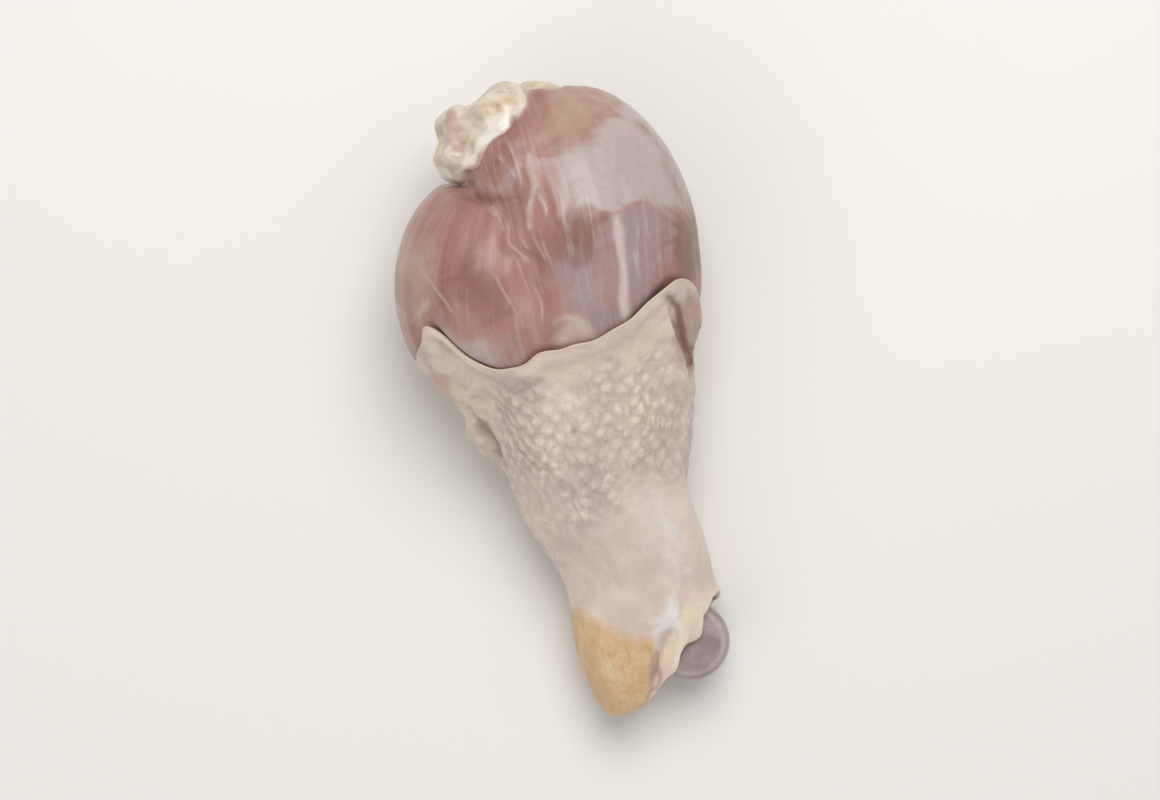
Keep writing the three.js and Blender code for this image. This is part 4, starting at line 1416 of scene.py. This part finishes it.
class DRUMSTICK_OT_skin(bpy.types.Operator):
    """Makes the sleeve of skin, with its ear, its rolled tab and the yellow skin of the hock"""

    bl_idname = "drumstick.skin"
    bl_label = "Skin"

    around = 360
    finer_above = 0.35
    outer_rows = 190
    lining_rows = 50
    rim_rows = 7
    # How far the skin draws in to the meat at its edge, over which length, and the lining's share of that.
    hug = dict(depth=0.7, length=3.5, lining=0.6)
    bead = dict(height=0.6, inset=2.1, width=1.5)  # the thickened edge
    # A paler band along the knee edge: painted light on its rounded bead.
    pale_rim = dict(strength=0.28, inset=1.2, width=1.8)
    pimple_share = 0.4  # of full pimples, where no zone says more
    pimple_ends = (-46, -26)  # the y over which they fade towards the hock
    seam = dict(direction=270, width=14)  # where the flat coordinates meet themselves
    edge_face = 0.35  # how far the outer face's last row counts as outer
    # Of the painted shadow in the slit of the ear.
    slit_shadows = [(0.6, 0.7), (0.3, 2.2)]  # strength and half width
    slit_wander = (5, 0.3, 8)
    # Of the painted shade along the tab's crease.
    crease_shade = (4, 0.6)  # half width in degrees and strength
    pore = dict(place=(-2.7, -4.7), width=1.1, strength=0.6)
    # The slowest and the fastest waves of the ragged edges and of the crease's shade, as counts of a turn.
    hock_waves = (6, 30)
    knee_waves = (5, 26)
    shade_waves = (3, 14)

    def form(self, settings):
        start = directions(self.around, self.finer_above)[None, :]
        ragged = settings.skin.ragged / MM
        end, low = np.moveaxis(hock_edge(start), -1, 0)
        low = low + 0.5 * ragged * waves(start, settings.seed, *self.hock_waves)
        high = knee_edge(start) + ragged * waves(start, settings.seed + 1, *self.knee_waves)
        rim = SKIN_THICKNESS / 2
        turn = np.radians(np.linspace(0, 180, self.rim_rows + 2)[1:-1])[:, None]
        outer_y = lerp(low + rim, high - rim, np.linspace(0, 1, self.outer_rows)[:, None])
        knee_y = high - rim + rim * np.sin(turn)
        lining_y = lerp(high - rim, low + rim, np.linspace(0, 1, self.lining_rows)[:, None])
        hock_y = low + rim - rim * np.sin(turn)
        y = np.vstack([outer_y, knee_y, lining_y, hock_y])
        half = 0.5 * np.cos(turn) + 0 * start
        depth = np.vstack([0 * outer_y, 0.5 - half, 1 + 0 * lining_y, 0.5 + half])
        hugged = self.hug["depth"] * smoothstep(y, high - self.hug["length"], high)
        level = lerp(SETTLED - hugged, SKIN_GAP - self.hug["lining"] * hugged, depth)
        share = (y - low) / (high - low)
        angle = lerp(start, end, np.maximum(1 - share / FLAP_SHARE, 0) ** 2)
        lift = fold_lift(FOLDS + FINE_FOLDS, angle, y)
        bead = bell(high - self.bead["inset"] - y, self.bead["width"])
        lift = lift + self.bead["height"] * bead * (1 - depth)
        return angle, y, reach(covered_field, bone_line(y), ray_at(angle), level + lift)

    def paint(self, mesh, angle, y, p, settings):
        """Where the skin is pimpled, loose, thin, fatty, yellow or torn, where shade is painted on it and
        light along its knee edge, and which face of it is which.
        """
        rows = np.arange(len(y))[:, None] + 0 * y
        outer = rows < self.outer_rows
        half = self.around // 2
        across = arc(p, 1)
        across = across - across[:, half : half + 1]
        along = arc(p, 0) + y[:1]
        store(mesh, "flat", np.stack([across, along, 0 * along], -1) * MM)
        store(mesh, "grain", grain_round(angle, along))
        rounded = np.where(outer, np.minimum(rows, self.outer_rows - 1 - rows) / 4, 0)
        store(mesh, "face", np.clip(rounded + self.edge_face * outer, 0, 1))
        seam = bell_round(angle, self.seam["direction"], self.seam["width"])
        shown = zoned(p, SKIN_ZONES, SKIN_SIDES)
        yellow = smoothstep(yellow_edge(angle) - p[..., 1], -3, 3) * outer
        pimple = (self.pimple_share + shown["pimple"]) * (1 - shown.pop("smooth")) * (1 - seam) * (1 - yellow)
        shown["pimple"] = pimple * smoothstep(p[..., 1], *self.pimple_ends)
        # Painted shade along the tab's crease and a painted shadow in the ear's slit, with the dark pore of a
        # follicle, all painted in the slit's colour.
        uneven = 0.5 * waves(y * 9, settings.seed + 2, *self.shade_waves)
        slit = fold_lift([(*TAB_CREASE[:2], *self.crease_shade)], angle + 2 * uneven, y)
        off_slit = from_line(wobbled(p, *self.slit_wander), SLIT_SHADE)
        slit_shadow = 0
        for strength, width in self.slit_shadows:
            slit_shadow = slit_shadow + strength * bell(off_slit, width)
        slit = slit + slit_shadow * above(p)
        off_pore = length(p[..., :2] - self.pore["place"])
        pore = bell(off_pore, self.pore["width"]) * above(p)
        shown["slit"] = np.clip(shown["slit"] + slit + self.pore["strength"] * pore, 0, 1) * outer
        # Painted light along the bead of the knee edge.
        off_rim = y[self.outer_rows - 1] - self.pale_rim["inset"] - y
        rim = self.pale_rim["strength"] * bell(off_rim, self.pale_rim["width"]) * outer
        shown["skin_pale"] = np.maximum(shown["skin_pale"], rim)
        shown["yellow"] = yellow
        for name, values in shown.items():
            store(mesh, name, values)

    def execute(self, context):
        settings = context.scene.drumstick
        skin = settings.skin
        angle, y, points = self.form(settings)
        mesh = grid_mesh("skin_sleeve", points, False)
        self.paint(mesh, angle, y, points, settings)
        piece = show(mesh, "skin_sleeve")
        with_relief(piece, skin_relief(skin), seed=float(settings.seed), material=skin_material(skin))
        stand_in(piece, "skin", slot="skin")
        return {"FINISHED"}


class DRUMSTICK_OT_bone(bpy.types.Operator):
    """Makes the shin bone, with the cartilage of the knee and the pulley of the hock"""

    bl_idname = "drumstick.bone"
    bl_label = "Shin bone"

    around = 160
    rows = 220
    waist = (0.35, 0.65)  # the share of the rows between which they move from the hock to the knee
    # On a condyle's flat face, with places and widths as shares of its radius: a raised lip and a dish.
    lip = dict(place=0.84, width=0.09, height=0.15)
    dish = dict(width=0.5, depth=0.3)
    face = dict(height=(3, 6), hock_top=-38)  # heights off the pulley's middle, and the y it lies below
    groove = dict(width=1.7, depth=1.1, out=(0.3, 0.7), top=(1, 6))  # between the condyles
    # A painted highlight on the condyles' raised lips, and a paler band at the knee's top end.
    pale_rim = dict(strength=0.6, knee=(57, 60))
    blood = dict(centre=(1.0, 60.0, 18.0), width=5)  # where it shows through at the knee

    def execute(self, context):
        share = np.linspace(0, 1, self.rows)
        foot, knee = PULLEY["centre"][1], KNEE_HEAD["centre"][1]
        middles = bone_middle(lerp(foot, knee, smoothstep(share, *self.waist)))[:, None, :]
        rises = 2 * STEEPEST * (share[:, None] - 0.5)
        angle = directions(self.around)[None, :]
        points = reach(bone_field, middles, ray_at(angle, rises), 0)
        low_x, low_y, low_z = PULLEY["centre"]
        out = np.hypot(points[..., 0] - low_x, points[..., 1] - low_y) / PULLEY["radius"]
        at_hock = points[..., 1] < self.face["hock_top"]
        facing = smoothstep(np.abs(points[..., 2] - low_z), *self.face["height"]) * at_hock
        lip = bell(out - self.lip["place"], self.lip["width"])
        dish = self.lip["height"] * lip - self.dish["depth"] * bell(out, self.dish["width"])
        points[..., 2] += dish * facing * np.sign(points[..., 2] - low_z)
        groove = self.groove["depth"] * bell(points[..., 2] - low_z, self.groove["width"])
        groove = groove * smoothstep(out, *self.groove["out"])
        groove = groove * (1 - smoothstep(points[..., 1] - low_y, *self.groove["top"]))
        points[..., :2] -= groove[..., None] * (points[..., :2] - (low_x, low_y)) / PULLEY["radius"]
        mesh = grid_mesh("shin_bone_joints", points, True)
        # Painted highlight on the lips, and the paler knee end.
        rim = lip * facing + smoothstep(points[..., 1], *self.pale_rim["knee"])
        store(mesh, "rim", np.clip(self.pale_rim["strength"] * rim, 0, 1))
        store(mesh, "marrow", bell(length(points - self.blood["centre"]), self.blood["width"]))
        piece = show(mesh, "shin_bone_joints")
        piece.data.materials.append(cartilage_material(context.scene.drumstick.bone))
        stand_in(piece, "shin_bone", slot="bone_cartilage")
        return {"FINISHED"}


def soft_lump(settings, name, field, middle, rows, columns, **given):
    """A lump of fat or gristle: a field reached from its middle, with small relief. Its membrane is a line of
    white tissue, seen from above."""
    angle = directions(columns)[None, :]
    rise = np.linspace(-STEEPEST, STEEPEST, rows)[:, None]
    centre = np.broadcast_to(np.array(middle, float), (rows, columns, 3))
    points = reach(field, centre, ray_at(angle, rise), 0)
    mesh = grid_mesh(name, points, True)
    store(mesh, "grain", points * MM)
    store(mesh, "face", np.ones(points.shape[:2]))
    off_strand = from_line(wobbled(points, *STRAND_ON_FAT["wander"]), FAT_STRAND)
    store(mesh, "membrane", bell(off_strand, STRAND_ON_FAT["width"]) * above(points))
    thin = np.minimum(fat_field(points) - THIN_FAT["off_lobes"], fat_veil(points) + THIN_FAT["from_edge"])
    store(mesh, "film", smoothstep(thin, 0, 1) * (points[..., 1] > 0))
    return with_relief(show(mesh, name), lobule_relief(settings.fat), seed=float(settings.seed), **given)


class DRUMSTICK_OT_gristle(bpy.types.Operator):
    """Makes the gristle of the heel, which shows at the cut end of the skin"""

    bl_idname = "drumstick.gristle"
    bl_label = "Heel gristle"

    middle_y = -51
    rings = (90, 160)

    def execute(self, context):
        settings = context.scene.drumstick
        fat = settings.fat
        dents = dict(lobule_size=fat.dent_size, lobule_height=fat.dent_depth)
        material = fat_material("tendon_and_gristle", fat, "gristle_light", "gristle_dark", 3)
        x, _, z = HEEL["centre"]
        shape = (gristle_field, (x, self.middle_y, z), *self.rings)
        piece = soft_lump(settings, "heel_tendon", *shape, material=material, **dents)
        stand_in(piece, "heel_gristle", slot="gristle")
        return {"FINISHED"}


class DRUMSTICK_OT_fat(bpy.types.Operator):
    """Makes the lobes of fat at the knee, with a thin veil beside them on the meat"""

    bl_idname = "drumstick.fat"
    bl_label = "Knee fat"

    rings = (150, 220)
    lobe_wander = (8, 0.5, 8)
    veil = dict(wander=(6, 0.7, 6), thickness=0.3, edge=0.6, blend=2.5)

    def field(self, p):
        on_meat = bare_field(p) - self.veil["thickness"]
        veil = soft_max(on_meat, fat_veil(wobbled(p, *self.veil["wander"])), self.veil["edge"])
        return soft_min(fat_field(wobbled(p, *self.lobe_wander)), veil, self.veil["blend"])

    def execute(self, context):
        settings = context.scene.drumstick
        material = fat_material("raw_soft_fat", settings.fat, "fat_light", "fat_dark", 5)
        piece = soft_lump(settings, "knee_fat_lobes", self.field, FAT_MIDDLE, *self.rings, material=material)
        stand_in(piece, "knee_fat", slot="fat")
        return {"FINISHED"}


class DRUMSTICK_OT_stage(bpy.types.Operator):
    """Makes the table, the lights and the camera, which looks straight down"""

    bl_idname = "drumstick.stage"
    bl_label = "Stage"

    table_half = 1.5
    frame_width = 0.222
    focal_length = 100.0
    # Name, place, diameter and which setting holds the power.
    lamps = [
        ("softbox", (0.16, 0.32, 0.7), 0.55, "key"),
        ("reflector", (-0.45, -0.3, 0.5), 0.6, "fill"),
    ]

    def execute(self, context):
        stage = context.scene.drumstick.stage
        half = self.table_half
        corners = [(-half, -half, 0), (half, -half, 0), (half, half, 0), (-half, half, 0)]
        mesh = bpy.data.meshes.new("table_top")
        mesh.from_pydata(corners, [], [(0, 1, 2, 3)])
        table = show(mesh, "table_top")
        table.data.materials.append(table_material(stage.table))
        table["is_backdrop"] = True

        for name, place, diameter, power in self.lamps:
            data = bpy.data.lights.new(name, "AREA")
            data.shape = "DISK"
            data.size = diameter
            data.energy = getattr(stage, power)
            lamp = show(data, name)
            lamp.location = place
            lamp.rotation_mode = "QUATERNION"
            lamp.rotation_quaternion = lamp.location.to_track_quat("Z", "Y")
        world = bpy.data.worlds.new("studio")
        world.use_nodes = True
        background = world.node_tree.nodes["Background"]
        background.inputs["Color"].default_value = (*linear("#f4f4f2"), 1)
        background.inputs["Strength"].default_value = stage.sky
        context.scene.world = world
        context.scene.view_settings.view_transform = "Standard"

        data = bpy.data.cameras.new("camera")
        data.lens = self.focal_length
        distance = self.frame_width * data.lens / data.sensor_width
        camera = show(data, "camera")
        low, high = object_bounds()
        camera.location = ((low.x + high.x) / 2, (low.y + high.y) / 2, high.z / 2 + distance)
        camera.rotation_euler = (0, 0, -stage.lean)
        context.scene.camera = camera
        return {"FINISHED"}


PIECES = [
    DRUMSTICK_OT_meat,
    DRUMSTICK_OT_skin,
    DRUMSTICK_OT_bone,
    DRUMSTICK_OT_gristle,
    DRUMSTICK_OT_fat,
    DRUMSTICK_OT_stage,
]


class DRUMSTICK_PT_panel(bpy.types.Panel):
    """Lists the pieces and their settings"""

    bl_idname = "DRUMSTICK_PT_panel"
    bl_label = "Raw drumstick"
    bl_space_type = "VIEW_3D"
    bl_region_type = "UI"
    bl_category = "Drumstick"

    def draw(self, context):
        settings = context.scene.drumstick
        self.layout.prop(settings, "seed")
        for piece in PIECES:
            self.layout.operator(piece.bl_idname)
        for group in (settings.skin, settings.meat, settings.bone, settings.fat, settings.stage):
            box = self.layout.box()
            for name in group.__annotations__:
                box.prop(group, name)


CLASSES = [
    SkinSettings,
    MeatSettings,
    BoneSettings,
    FatSettings,
    StageSettings,
    DrumstickSettings,
    *PIECES,
    DRUMSTICK_PT_panel,
]


def register():
    for made in CLASSES:
        bpy.utils.register_class(made)
    bpy.types.Scene.drumstick = PointerProperty(type=DrumstickSettings)


def unregister():
    del bpy.types.Scene.drumstick
    for made in reversed(CLASSES):
        bpy.utils.unregister_class(made)


def main():
    register()
    for piece in PIECES:
        group, name = piece.bl_idname.split(".")
        getattr(getattr(bpy.ops, group), name)()


if __name__ == "__main__":
    main()
